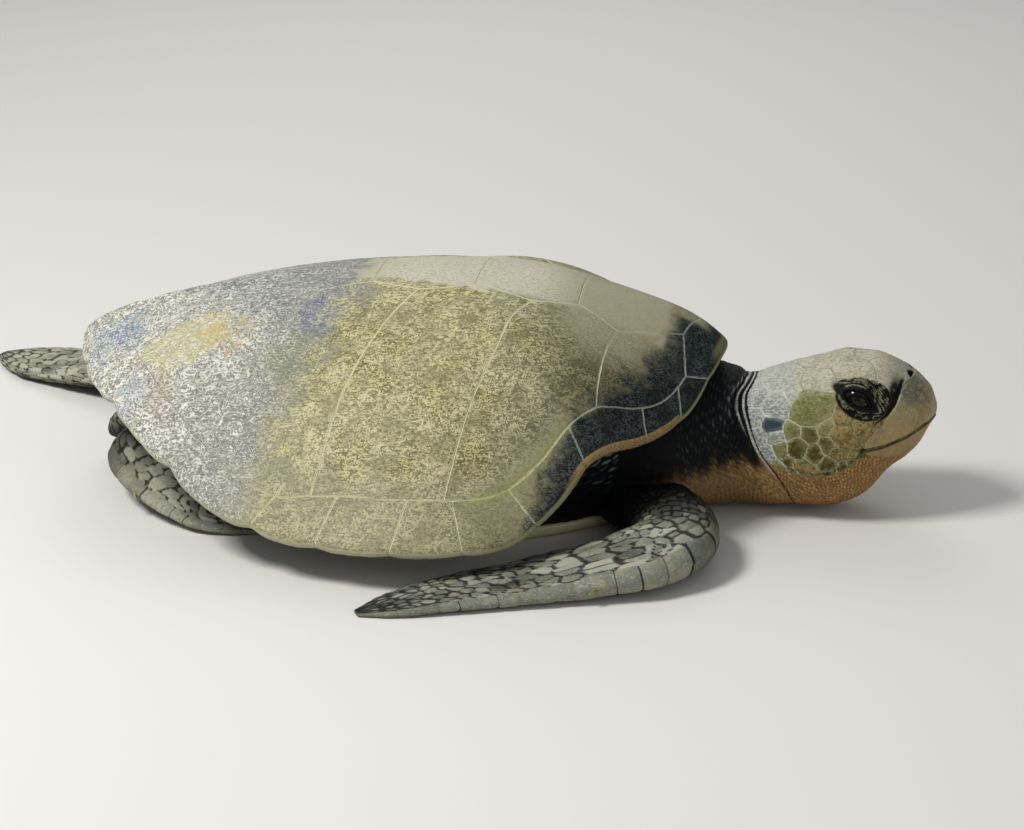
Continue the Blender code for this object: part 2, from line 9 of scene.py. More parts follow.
import bpy
import numpy as np
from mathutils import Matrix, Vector


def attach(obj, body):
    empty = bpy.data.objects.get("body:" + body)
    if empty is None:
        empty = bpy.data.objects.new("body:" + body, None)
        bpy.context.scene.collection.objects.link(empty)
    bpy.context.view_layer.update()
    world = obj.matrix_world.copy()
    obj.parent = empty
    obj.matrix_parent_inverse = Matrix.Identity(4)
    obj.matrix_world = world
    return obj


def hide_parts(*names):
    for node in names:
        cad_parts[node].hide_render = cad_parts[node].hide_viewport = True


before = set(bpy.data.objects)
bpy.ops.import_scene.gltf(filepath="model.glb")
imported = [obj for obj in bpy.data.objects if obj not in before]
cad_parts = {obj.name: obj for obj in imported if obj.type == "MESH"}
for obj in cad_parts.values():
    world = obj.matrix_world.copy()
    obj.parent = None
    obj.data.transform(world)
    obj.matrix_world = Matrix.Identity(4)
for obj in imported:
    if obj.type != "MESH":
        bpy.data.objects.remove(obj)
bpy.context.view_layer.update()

bl_info = {
    "name": "Olive Ridley Sea Turtle",
    "version": (1, 0, 0),
    "blender": (4, 5, 0),
    "location": "View3D > Sidebar > Sea Turtle",
    "description": "Dresses the packed solids of a life-size sea turtle",
    "category": "Object",
}

SIDES = {"right": -1.0, "left": 1.0}
MM = 0.001
TURN = 2 * np.pi

# Shell: the solids' named sizes, with a rounder front of the ridge ------------------------------------
SHELL_LENGTH, SHELL_WIDTH, CROWN, WIDEST_AT = 0.66, 0.60, 0.229, 0.042
SCUTE, RIM_SCUTE, GAP = 0.007, 0.011, 0.00015
BELLY_THICKNESS = 0.014
RIM_HEIGHT = ((0.0, 0.162), (0.045, 0.158), (0.09, 0.146), (0.14, 0.123), (0.20, 0.114), (0.28, 0.112),
              (0.32, 0.075), (0.36, 0.048), (0.42, 0.041), (0.50, 0.041), (0.58, 0.042), (0.65, 0.054),
              (0.72, 0.086), (0.80, 0.114), (0.92, 0.124), (1.0, 0.138))
DOME_A, DOME_B, DOME_SOFT, DOME_STEEP = (3.19, 1.88, 1.13), (1.07, 0.98, 0.50), 0.15, 0.99
NAPE_SWELL = (0.0075, 0.292, 0.050, 0.034)    # rise, x and half widths of the round front of the ridge
NUCHAL_POINT = 0.012       # how far the nuchal's rear seam runs forward on the ridge
RIM_BULGE = (1.35, 1.32)
RIM_SEAMS = (0.093, 0.155, 0.210, 0.287, 0.340, 0.416, 0.491, 0.555, 0.615, 0.705, 0.800, 0.900, 1.0)
RIM_NOTCHES = (0.2, 0.2, 0.2, 0.2, 0.2, 0.3, 0.4, 0.6, 0.9, 1.0, 1.0, 1.0, 0.6)   # at the rim seams
INNER_SEAMS = (0.113, 0.130, 0.190, 0.287, 0.361, 0.425, 0.475, 0.546, 0.603, 0.695, 0.790, 0.895, 1.0)
INNER_REACH = ((0.0, 0.87), (0.113, 0.935), (0.180, 0.928), (0.226, 0.888), (0.247, 0.874),
               (0.287, 0.884), (0.36, 0.886), (0.57, 0.892), (0.60, 0.914), (0.80, 0.88), (1.0, 0.85))
COSTAL_ROOT = (0.113, 0.247, 0.434, 0.571, 0.685, 0.790, 0.895)
COSTAL_TIP_X = (0.287, 0.226, 0.143, 0.030, -0.068, -0.152, -0.232)
COSTAL_TIP_Y = (0.031, 0.062, 0.062, 0.056, 0.052, 0.050, 0.055)
COSTAL_BOW = (0.0, -0.004, -0.008, -0.010, -0.006, -0.004, 0.0)
VERTEBRAL_X = (0.287, 0.186, 0.086, -0.018, -0.110, -0.192)
VERTEBRAL_HALF = (0.031, 0.047, 0.046, 0.041, 0.038, 0.040)
BELLY_REACH = ((0.0, 0.222), (0.1, 0.216), (0.2, 0.198), (0.3, 0.186), (0.4, 0.196), (0.5, 0.208),
               (0.6, 0.202), (0.7, 0.174), (0.8, 0.166), (0.9, 0.208), (1.0, 0.262))

# Head, neck and limbs: x, top, bottom, half width, height of the widest line --------------------------
HEAD_FORM = ((0.338, 0.118, 0.046, 0.036, 0.084), (0.352, 0.129, 0.026, 0.050, 0.082),
             (0.370, 0.137, 0.013, 0.060, 0.082), (0.395, 0.146, 0.006, 0.065, 0.083),
             (0.420, 0.154, 0.005, 0.066, 0.086), (0.448, 0.162, 0.010, 0.063, 0.090),
             (0.470, 0.162, 0.023, 0.057, 0.094), (0.490, 0.156, 0.048, 0.048, 0.098),
             (0.508, 0.147, 0.063, 0.037, 0.101), (0.520, 0.137, 0.078, 0.027, 0.103),
             (0.527, 0.129, 0.093, 0.019, 0.104), (0.533, 0.114, 0.102, 0.005, 0.107))
HEAD_FROM, HEAD_TO = 0.344, 0.533
NECK_FORM = ((0.215, 0.132, 0.030, 0.122, 0.084), (0.245, 0.138, 0.016, 0.125, 0.082),
             (0.280, 0.139, 0.008, 0.118, 0.078), (0.310, 0.137, 0.004, 0.094, 0.074),
             (0.338, 0.134, 0.004, 0.071, 0.074), (0.362, 0.136, 0.004, 0.064, 0.074),
             (0.395, 0.146, 0.004, 0.065, 0.078))
NECK_FROM = 0.222          # inside the trunk, behind the first section
COLLAR = ((-0.02, 0.402), (0.012, 0.400), (0.04, 0.388), (0.07, 0.366), (0.10, 0.355), (0.125, 0.350),
          (0.136, 0.358), (0.16, 0.362))    # height and x of the neck's front edge
HEAD_POWER = 0.9           # exponent of the head's and neck's oval sections
MOUTH = ((0.440, 0.080), (0.467, 0.082), (0.487, 0.085), (0.507, 0.092), (0.522, 0.100), (0.545, 0.112))
UPPER_BEAK = ((0.467, 0.090), (0.482, 0.106), (0.496, 0.124), (0.502, 0.142), (0.545, 0.160))
LOWER_BEAK = ((0.467, 0.076), (0.485, 0.072), (0.505, 0.066), (0.545, 0.060))
BEAK_CREASE = ((0.500, 0.1435), (0.4980, 0.137), (0.4955, 0.129), (0.491, 0.120), (0.484, 0.113),
               (0.477, 0.108))
EYE_AT, EYE_RADIUS = np.array([0.459, 0.0415, 0.1295]), 0.0155
NOSE_TIP = (0.511, 0.025, 0.139)
NOSTRIL_AT, NOSTRIL_OVAL = np.array([0.5083, 0.0092, 0.1455]), np.array([1.0, 1.35, 1.3])
GAZE = np.array([0.12, 0.97, 0.05])
SLIT = np.array([0.86, -0.087, -0.42])     # the eye's slit runs forwards and down
ALMOND = 1.6               # exponent of the slit's outline
SLIT_LONG, SLIT_UPPER, SLIT_LOWER = 0.0150, 0.0056, 0.0048
FRONT_FORM = ((0.0, 0.036, 0.026), (0.2, 0.042, 0.026), (0.36, 0.040, 0.026), (0.52, 0.045, 0.021),
              (0.7, 0.043, 0.011), (0.85, 0.034, 0.007), (0.95, 0.021, 0.004), (1.0, 0.006, 0.0018))
HIND_FORM = ((0.0, 0.032, 0.028), (0.3, 0.031, 0.026), (0.55, 0.044, 0.014), (0.8, 0.050, 0.008),
             (0.94, 0.030, 0.005), (1.0, 0.009, 0.0018))
FRONT_PATH = {
    "right": ((0.235, -0.085, 0.036), (0.281, -0.126, 0.029), (0.301, -0.188, 0.029), (0.270, -0.228, 0.023),
              (0.195, -0.256, 0.011), (0.110, -0.296, 0.007), (0.030, -0.345, 0.002)),
    "left": ((0.225, 0.085, 0.036), (0.264, 0.138, 0.029), (0.272, 0.202, 0.029), (0.228, 0.243, 0.022),
             (0.150, 0.275, 0.011), (0.065, 0.318, 0.007), (-0.015, 0.362, 0.002)),
}
HIND_PATH = {
    "right": ((-0.172, -0.050, 0.058), (-0.226, -0.045, 0.050), (-0.246, -0.074, 0.040),
              (-0.212, -0.106, 0.023), (-0.158, -0.134, 0.010), (-0.100, -0.166, 0.002)),
    "left": ((-0.160, 0.105, 0.055), (-0.245, 0.146, 0.042), (-0.330, 0.194, 0.026), (-0.425, 0.246, 0.011),
             (-0.525, 0.300, 0.002)),
}
# A limb: path, sections, rows and columns, leading side, and how pale and how long its scales are.
# Scales are darkest towards the root: the upper arm's own dark grey, darkened further as painted shade under
# the shell.
LIMBS = {
    "front": {"path": FRONT_PATH, "form": FRONT_FORM, "grid": (175, 84), "leading": {"right": 1, "left": -1},
              "pale": ((0, 0), (0.16, 0.06), (0.30, 0.42), (0.44, 0.95), (0.8, 0.85), (1, 0.7)),
              "long": ((0, 1), (0.46, 1.0), (0.56, 2.3), (0.68, 1.8), (0.8, 1.2), (1, 1.2))},
    "hind": {"path": HIND_PATH, "form": HIND_FORM, "grid": (120, 72), "leading": {"right": -1, "left": -1},
             "pale": ((0, 0.1), (0.35, 0.25), (0.6, 0.8), (1, 0.9)), "long": ((0, 1), (0.5, 1.2), (1, 2.0))},
}
LIMB_SCALE, TAIL_SCALE = (0.012, 0.0085), (0.007, 0.007)    # a scale's size along and around
TAIL_PATH = ((-0.215, 0.0, 0.060), (-0.258, 0.004, 0.050), (-0.290, 0.012, 0.037), (-0.312, 0.022, 0.022))
TAIL_FORM = ((0.0, 0.034, 0.026), (0.5, 0.026, 0.020), (0.85, 0.014, 0.011), (1.0, 0.005, 0.004))
CLAW_AT, CLAW_LENGTH = 0.60, 0.016

# Large scales on the side of the head: x, z, size and finish; their y is the head's own.
CHEEK_SCALES = (
    (0.415, 0.121, 0.0190, "olive"), (0.382, 0.122, 0.0150, "grey"), (0.378, 0.102, 0.0085, "slate"),
    (0.381, 0.091, 0.0070, "grey"), (0.400, 0.096, 0.0070, "olive"), (0.415, 0.098, 0.0085, "cheek"),
    (0.429, 0.105, 0.0085, "olive"), (0.446, 0.099, 0.0110, "tan"), (0.404, 0.082, 0.0110, "cheek"),
    (0.420, 0.078, 0.0100, "cheek"), (0.431, 0.086, 0.0070, "cheek"), (0.434, 0.068, 0.0095, "cheek"),
    (0.452, 0.089, 0.0075, "tan"), (0.397, 0.070, 0.0070, "cheek"), (0.388, 0.080, 0.0080, "olive"),
    (0.411, 0.064, 0.0090, "tan"), (0.436, 0.057, 0.0050, "cheek"), (0.449, 0.062, 0.0050, "cheek"),
    (0.459, 0.067, 0.0050, "cheek"), (0.463, 0.076, 0.0045, "cheek"), (0.421, 0.052, 0.0060, "tan"),
    (0.445, 0.111, 0.0060, "tan"), (0.462, 0.103, 0.0070, "tan"), (0.472, 0.096, 0.0060, "tan"),
    (0.441, 0.077, 0.0070, "tan"), (0.456, 0.080, 0.0050, "tan"), (0.480, 0.108, 0.0050, "tan"),
    (0.362, 0.124, 0.0070, "grey"), (0.362, 0.106, 0.0070, "grey"), (0.366, 0.088, 0.0070, "grey"),
    (0.374, 0.072, 0.0080, "grey"), (0.386, 0.059, 0.0080, "olive"), (0.400, 0.053, 0.0070, "tan"),
)
# Plates on the crown: x, y, size; their z is the head's own.
CROWN_PLATES = ((0.468, 0.0, 0.011), (0.427, 0.0, 0.022), (0.384, 0.026, 0.017), (0.360, 0.0, 0.012),
                (0.452, 0.030, 0.012), (0.484, 0.015, 0.009), (0.500, 0.008, 0.007), (0.418, 0.040, 0.011),
                (0.394, 0.047, 0.010), (0.366, 0.038, 0.010))
THROAT_LINE = ((0.350, 0.074), (0.375, 0.064), (0.392, 0.058), (0.414, 0.0535), (0.432, 0.054),
               (0.450, 0.062), (0.464, 0.073), (0.480, 0.078), (0.500, 0.070))
SMILE = ((0.392, 0.061), (0.414, 0.0560), (0.432, 0.0565), (0.450, 0.0645), (0.466, 0.080))

# Faint stains on the worn rear: colour, radius and centre.
STAINS = (("#566f88", 0.031, (-0.2720, 0.060, 0.154)), ("#8490aa", 0.018, (-0.233, 0.154, 0.127)),
          ("#5b5f78", 0.022, (-0.050, 0.096, 0.197)), ("#b3a974", 0.036, (-0.196, 0.104, 0.166)),
          ("#b29c50", 0.022, (-0.152, 0.096, 0.180)), ("#857559", 0.024, (-0.205, 0.160, 0.128)),
          ("#74785c", 0.030, (-0.080, 0.140, 0.165)))
LOOK_AT, LIGHT_AT = Vector((0.113, 0.0, 0.075)), Vector((0.1, 0.0, 0.1))    # what camera and lights face


# Numbers ---------------------------------------------------------------------------------------------
def linear(code):
    """An sRGB hex colour as linear red, green, blue and alpha."""
    s = np.array([int(code[i:i + 2], 16) for i in (1, 3, 5)]) / 255
    return tuple(float(v) for v in np.where(s <= 0.04045, s / 12.92, ((s + 0.055) / 1.055) ** 2.4)) + (1.0,)


def smooth(knots, at):
    """Cubic through (place, value, ...) knots, level where the values turn back."""
    table = np.array(knots, float)
    place, values = table[:, 0], table[:, 1:]
    step = np.diff(place)[:, None]
    slope = np.diff(values, axis=0) / step
    tangent = np.concatenate([slope[:1], (slope[:-1] + slope[1:]) / 2, slope[-1:]])
    tangent[1:-1][slope[:-1] * slope[1:] <= 0] = 0
    at = np.clip(np.atleast_1d(at), place[0], place[-1])
    i = np.clip(np.searchsorted(place, at, side="right") - 1, 0, len(step) - 1)
    s = ((at - place[i]) / step[i, 0])[..., None]
    return ((1 + 2 * s) * (1 - s) ** 2 * values[i] + s * (1 - s) ** 2 * step[i] * tangent[i]
            + s * s * (3 - 2 * s) * values[i + 1] + s * s * (s - 1) * step[i] * tangent[i + 1])


def ease(value, start, end):
    """0 before start and 1 after end, 3t^2 - 2t^3 between; start may be the larger."""
    t = np.clip((value - start) / (end - start), 0, 1)
    return t * t * (3 - 2 * t)


def spread(density, start, end, count):
    """Places from start to end, set closer where the density function is larger."""
    fine = np.linspace(start, end, 2001)
    run = np.concatenate([[0], np.cumsum(density((fine[1:] + fine[:-1]) / 2))])
    return np.interp(np.linspace(0, run[-1], count), run, fine)


def resample(points, count):
    """Points evenly spaced along a polyline, both ends kept."""
    points = np.array(points, float)
    run = walked(points)
    at = np.linspace(0, run[-1], count)
    return np.stack([np.interp(at, run, points[:, k]) for k in range(points.shape[1])], axis=1)


def length_of(points):
    """The whole length of a polyline."""
    return np.linalg.norm(np.diff(np.array(points, float), axis=0), axis=1).sum()


def unit(vectors):
    """The same directions with length 1."""
    return vectors / np.maximum(np.linalg.norm(vectors, axis=-1, keepdims=True), 1e-12)


def bell(value, at, width, power=2):
    """1 at a place, falling off to both sides: e to the power of -(distance / width)^power."""
    return np.exp(-((value - at) / width) ** power)


def bend(value, power):
    """sign(v) |v|^p: makes a circle's sine or cosine fuller or leaner."""
    return np.sign(value) * np.abs(value) ** power


def walked(points, axis=0):
    """The length walked to each point along one axis of a grid of points."""
    steps = np.diff(points, axis=axis, prepend=np.take(points, [0], axis=axis))
    return np.cumsum(np.linalg.norm(steps, axis=-1), axis=axis)


def folded(points):
    """The same points with |y| for y, so that both sides get the left side's pattern."""
    return np.stack([points[..., 0], np.abs(points[..., 1]), points[..., 2]], -1)


def round_edge(inset, radius):
    """How deep a quarter-round edge lies at a distance from the border, as a share of its radius."""
    return 1 - np.sqrt(np.clip(1 - (1 - np.clip(inset / radius, 0, 1)) ** 2, 0, 1))


def scatter(seed, *cells):
    """An even random number from 0 to 1 for each whole-number cell, by mixing its integers."""
    mixed = np.zeros(np.shape(cells[0]), np.uint32) + np.uint32(seed * 2654435761 % 2 ** 32)
    for cell in cells:
        mixed = (mixed ^ cell.astype(np.int64).astype(np.uint32)) * np.uint32(2246822519)
        mixed = mixed ^ (mixed >> np.uint32(15))
    mixed = mixed * np.uint32(3266489917)
    return (mixed ^ (mixed >> np.uint32(13))) / 4294967295.0


def noise(points, size, seed=0, octaves=2):
    """Smooth random field from about -1 to 1: a lattice's corner values blended by 3t^2 - 2t^3."""
    total, weight = 0.0, 0.0
    for k in range(octaves):
        p = points / size * 2 ** k + 17.3 * k
        cell = np.floor(p)
        t = p - cell
        t = t * t * (3 - 2 * t)
        for corner in product((0, 1), repeat=3):
            share = np.prod([t[..., i] if corner[i] else 1 - t[..., i] for i in range(3)], axis=0)
            value = scatter(seed + k, *(cell[..., i] + corner[i] for i in range(3)))
            total = total + share * value * 0.5 ** k
        weight += 0.5 ** k
    return 2 * total / weight - 1


def cells(u, v, seed, loose=0.75, wrap=0):
    """Cells of a jittered unit grid: distance to the nearest border, and a random number per cell.

    A border is where two seeds are equally far, at (far^2 - near^2) / (2 |far seed - near seed|).
    """
    gaps, su, sv, marks = [], [], [], []
    for du, dv in product((-1, 0, 1), repeat=2):
        i, j = np.floor(u) + du, np.floor(v) + dv
        k = j % wrap if wrap else j
        su.append(i + 0.5 + loose * (scatter(seed, i, k) - 0.5))
        sv.append(j + 0.5 + loose * (scatter(seed + 1, i, k) - 0.5))
        marks.append(scatter(seed + 2, i, k))
        gaps.append((u - su[-1]) ** 2 + (v - sv[-1]) ** 2)
    order = np.argsort(np.array(gaps), axis=0)[:2]
    near, far = ([np.take_along_axis(np.array(a), order[n:n + 1], axis=0)[0] for a in (gaps, su, sv, marks)]
                 for n in (0, 1))
    apart = np.hypot(far[1] - near[1], far[2] - near[2])
    return (far[0] - near[0]) / (2 * np.maximum(apart, 1e-6)), near[3]


def power_cells(points, seeds, sizes):
    """Cells round named seeds, larger for a larger size: the border's distance, and which seed is nearest."""
    power = ((points[..., None, :] - seeds) ** 2).sum(-1) - sizes ** 2
    order = np.argsort(power, axis=-1)[..., :2]
    first, second = order[..., 0], order[..., 1]
    lead = np.take_along_axis(power, order, axis=-1)
    apart = np.linalg.norm(seeds[second] - seeds[first], axis=-1)
    return (lead[..., 1] - lead[..., 0]) / (2 * np.maximum(apart, 1e-6)), first


# Meshes ----------------------------------------------------------------------------------------------
def grid_faces(rows, columns, closed=False, start=0):
    """Quads between neighbouring points of a rows x columns grid, joined round if closed."""
    index = start + np.arange(rows * columns).reshape(rows, columns)
    if closed:
        index = np.column_stack([index, index[:, :1]])
    return np.stack([index[:-1, :-1], index[:-1, 1:], index[1:, 1:], index[1:, :-1]], -1).reshape(-1, 4)


def piece(name, points, quads, tris=None, values=None):
    """A mesh object at the origin from arrays, faces outwards, one float attribute per named array."""
    points = np.asarray(points, np.float64).reshape(-1, 3)
    tris = np.zeros((0, 3), int) if tris is None else tris
    flat = np.concatenate([quads[:, [0, 1, 2]], quads[:, [0, 2, 3]], tris])
    a, b, c = points[flat[:, 0]], points[flat[:, 1]], points[flat[:, 2]]
    if np.einsum("ij,ij->i", a, np.cross(b, c)).sum() < 0:
        quads, tris = quads[:, ::-1], tris[:, ::-1]
    mesh = bpy.data.meshes.new(name)
    mesh.vertices.add(len(points))
    mesh.vertices.foreach_set("co", points.astype(np.float32).ravel())
    corners = np.concatenate([quads.ravel(), tris.ravel()]).astype(np.int32)
    starts = np.concatenate([np.arange(len(quads)) * 4, quads.size + np.arange(len(tris)) * 3])
    mesh.loops.add(len(corners))
    mesh.loops.foreach_set("vertex_index", corners)
    mesh.polygons.add(len(starts))
    mesh.polygons.foreach_set("loop_start", starts.astype(np.int32))
    mesh.update(calc_edges=True)
    mesh.validate()
    for key, value in (values or {}).items():
        layer = mesh.attributes.new(key, "FLOAT", "POINT")
        layer.data.foreach_set("value", np.asarray(value, np.float32).ravel())
    mesh.shade_smooth()
    made = bpy.data.objects.new(name, mesh)
    bpy.context.scene.collection.objects.link(made)
    return made


def closed_loft(name, rings, values=None, join=False):
    """A closed tube through rings of points: its ends close on a middle point, or on each other."""
    rows, columns = rings.shape[:2]
    points = rings.reshape(-1, 3)
    quads = grid_faces(rows, columns, True)
    values = {key: np.broadcast_to(value, (rows, columns)).ravel() for key, value in (values or {}).items()}
    if join:
        last, first = (rows - 1) * columns + np.arange(columns), np.arange(columns)
        quads = np.concatenate([quads, np.stack([last, np.roll(last, -1), np.roll(first, -1), first], 1)])
        return piece(name, points, quads, None, values)
    ends = [rings[0].mean(0), rings[-1].mean(0)]
    around = np.arange(columns)
    far = (rows - 1) * columns + around
    tris = np.concatenate([
        np.stack([np.full(columns, rows * columns), np.roll(around, -1), around], 1),
        np.stack([np.full(columns, rows * columns + 1), far, np.roll(far, -1)], 1)])
    values = {key: np.append(value, [value[0], value[-1]]) for key, value in values.items()}
    return piece(name, np.concatenate([points, ends]), quads, tris, values)


def thin_shell(name, outer, inner, values):
    """A closed shell of two grids of the same size, joined by quads round their borders."""
    rows, columns = outer.shape[:2]
    index = np.arange(rows * columns).reshape(rows, columns)
    ring = np.concatenate([index[0], index[1:, -1], index[-1, -2::-1], index[-2:0:-1, 0]])
    step = np.roll(ring, -1)
    quads = grid_faces(rows, columns)
    quads = np.concatenate([quads, quads[:, ::-1] + index.size,
                            np.stack([ring, ring + index.size, step + index.size, step], 1)])
    return piece(name, np.concatenate([outer.reshape(-1, 3), inner.reshape(-1, 3)]), quads, None, values)


def grid_normals(points, outward, closed=True):
    """Unit normals of a grid by central differences, turned to agree with rough outward directions."""
    down = np.gradient(points, axis=0)
    if closed:
        across = (np.roll(points, -1, axis=1) - np.roll(points, 1, axis=1)) / 2
    else:
        across = np.gradient(points, axis=1)
    normal = unit(np.cross(across, down))
    return normal * np.sign((normal * outward).sum())


def fill(made, inputs):
    """Gives a node's inputs, by number or name, their sockets or values; None leaves one alone."""
    for key, value in inputs.items():
        if isinstance(value, bpy.types.NodeSocket):
            made.id_data.links.new(value, made.inputs[key])
        elif value is not None:
            made.inputs[key].default_value = value


def node(tree, kind, *values, out=0, **settings):
    """Adds a node and returns one of its outputs.

    Values fill its inputs in order, capitalised words fill them by name, other words are its settings, and
    a word behind the kind is its operation or its interpolation.
    """
    kind, _, mode = kind.partition(" ")
    made = tree.nodes.new("ShaderNode" + kind)
    if mode:
        settings["interpolation_type" if kind == "MapRange" else "operation"] = mode
    named = {key: settings.pop(key) for key in list(settings) if key[0].isupper()}
    for key, value in settings.items():
        setattr(made, key, value)
    fill(made, {**dict(enumerate(values)), **named})
    return made.outputs[out]


def finish_of(name, **constants):
    """A new material, its Principled shader with constants set, and what adds nodes and paints in it."""
    made = bpy.data.materials.new(name)
    made.use_nodes = True
    shader = made.node_tree.nodes["Principled BSDF"]
    fill(shader, {key.replace("_", " "): value for key, value in constants.items()})
    add = partial(node, made.node_tree)
    return made, shader, add, partial(layered, add)


def layered(add, base, *layers):
    """Paint over paint: a layer's field, where it is bare and where it covers, how much, and its colour.

    A layer of two is a mask and its colour: bare at 0, covering fully at 1.
    """
    colour = linear(base) if isinstance(base, str) else base
    for field, *steps, paint in layers:
        bare, full, cover = steps or (0, 1, 1)
        paint = linear(paint) if isinstance(paint, str) else paint
        strength = add("MapRange SMOOTHSTEP", field, bare, full, 0, cover)
        colour = add("Mix", strength, *[None] * 5, colour, paint, out=2, data_type="RGBA")
    return colour


def waves(add, place, *rows):
    """Noise fields, from rows of scale per metre, detail, distortion and, if not even, stretch."""
    return [add("TexNoise", add("Mapping", place, Scale=stretch[0] if stretch else (1, 1, 1)), Scale=scale,
                Detail=detail, Distortion=distortion) for scale, detail, distortion, *stretch in rows]


def mirrored_place(add):
    """Object coordinates with |y| for y, so that both sides carry the same markings."""
    x, y, z = (add("SeparateXYZ", add("TexCoord", out=3), out=n) for n in range(3))
    y = add("Math ABSOLUTE", y)
    return x, z, add("CombineXYZ", x, y, z)


def dress(made, material, slot, *replaced):
    """Gives a piece its material and its body, and hides the solids that it stands for; slot is not used."""
    made.data.materials.clear()
    made.data.materials.append(material)
    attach(made, "root")
    if replaced:
        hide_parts(*replaced)
    return made


# The dome of the carapace ----------------------------------------------------------------------------
def rim(share):
    """Plan of the rim, x and |y|, at a share of the half turn from nuchal to tail."""
    turn = np.pi * np.asarray(share, float)
    front = np.cos(turn) > 0
    reach = np.where(front, SHELL_LENGTH / 2 - WIDEST_AT, SHELL_LENGTH / 2 + WIDEST_AT)
    power = np.where(front, *RIM_BULGE)
    return WIDEST_AT + reach * np.cos(turn), SHELL_WIDTH / 2 * np.abs(np.sin(turn)) ** power


SHARES = np.linspace(0, 1, 1441)
RIM_X, RIM_Y = rim(SHARES)
RIM_ANGLE = np.arctan2(RIM_Y, RIM_X - WIDEST_AT)
RIM_RADIUS = np.hypot(RIM_X - WIDEST_AT, RIM_Y)


def spot(x, y):
    """Share of the half turn and share of the way to the rim, of a point in plan."""
    share = np.interp(np.arctan2(np.abs(y), np.asarray(x) - WIDEST_AT), RIM_ANGLE, SHARES)
    return share, np.hypot(np.asarray(x) - WIDEST_AT, y) / np.interp(share, SHARES, RIM_RADIUS)


def plan(share, reach, side=1.0):
    """The plan point at a share of the half turn and a share of the way to the rim."""
    x, y = rim(share)
    return np.stack([WIDEST_AT + reach * (x - WIDEST_AT), side * reach * y], axis=-1)


def height(x, y):
    """Rim height plus a section (1 - r^a)^b whose exponents change from front to side to rear."""
    share, reach = spot(x, y)
    along = np.cos(np.pi * share)
    weight = (np.maximum(along, 0) ** 2, 1 - along ** 2, np.maximum(-along, 0) ** 2)
    a = sum(w * v for w, v in zip(weight, DOME_A))
    b = sum(w * v for w, v in zip(weight, DOME_B))
    fall = ((np.minimum(reach, 1) ** 2 + DOME_SOFT ** 2) ** (a / 2) - DOME_SOFT ** a)
    fall = fall / ((1 + DOME_SOFT ** 2) ** (a / 2) - DOME_SOFT ** a)
    floor = (1 - DOME_STEEP) ** b
    rise = ((1 - DOME_STEEP * fall) ** b - floor) / (1 - floor)
    edge = smooth(RIM_HEIGHT, share)[..., 0]
    top, at, long, wide = NAPE_SWELL
    swell = top * bell(np.asarray(x), at, long) * bell(np.asarray(y), 0, wide)
    return edge + (CROWN - edge) * rise + swell * (1 - np.minimum(reach, 1) ** 40)


def dome(flat, depth):
    """Points at a depth under the dome's outer surface, along its normal."""
    x, y = flat[..., 0], flat[..., 1]
    step, pull = 0.002, 0.994
    ix, iy = WIDEST_AT + pull * (x - WIDEST_AT), pull * y
    dx = (height(ix + step, iy) - height(ix - step, iy)) / (2 * step)
    dy = (height(ix, iy + step) - height(ix, iy - step)) / (2 * step)
    normal = unit(np.stack([-dx, -dy, np.ones_like(dx)], axis=-1))
    return np.stack([x, y, height(x, y)], axis=-1) - np.asarray(depth)[..., None] * normal


def near(points, line):
    """Distance from each point to a polyline's points, in blocks."""
    flat = points.reshape(-1, points.shape[-1])
    line = resample(line, max(2, int(length_of(line) / 0.0012)))
    blocks = np.array_split(flat, 1 + len(flat) // 4000)
    best = [np.sqrt(((block[:, None] - line) ** 2).sum(-1).min(1)) for block in blocks]
    return np.concatenate(best).reshape(points.shape[:-1])


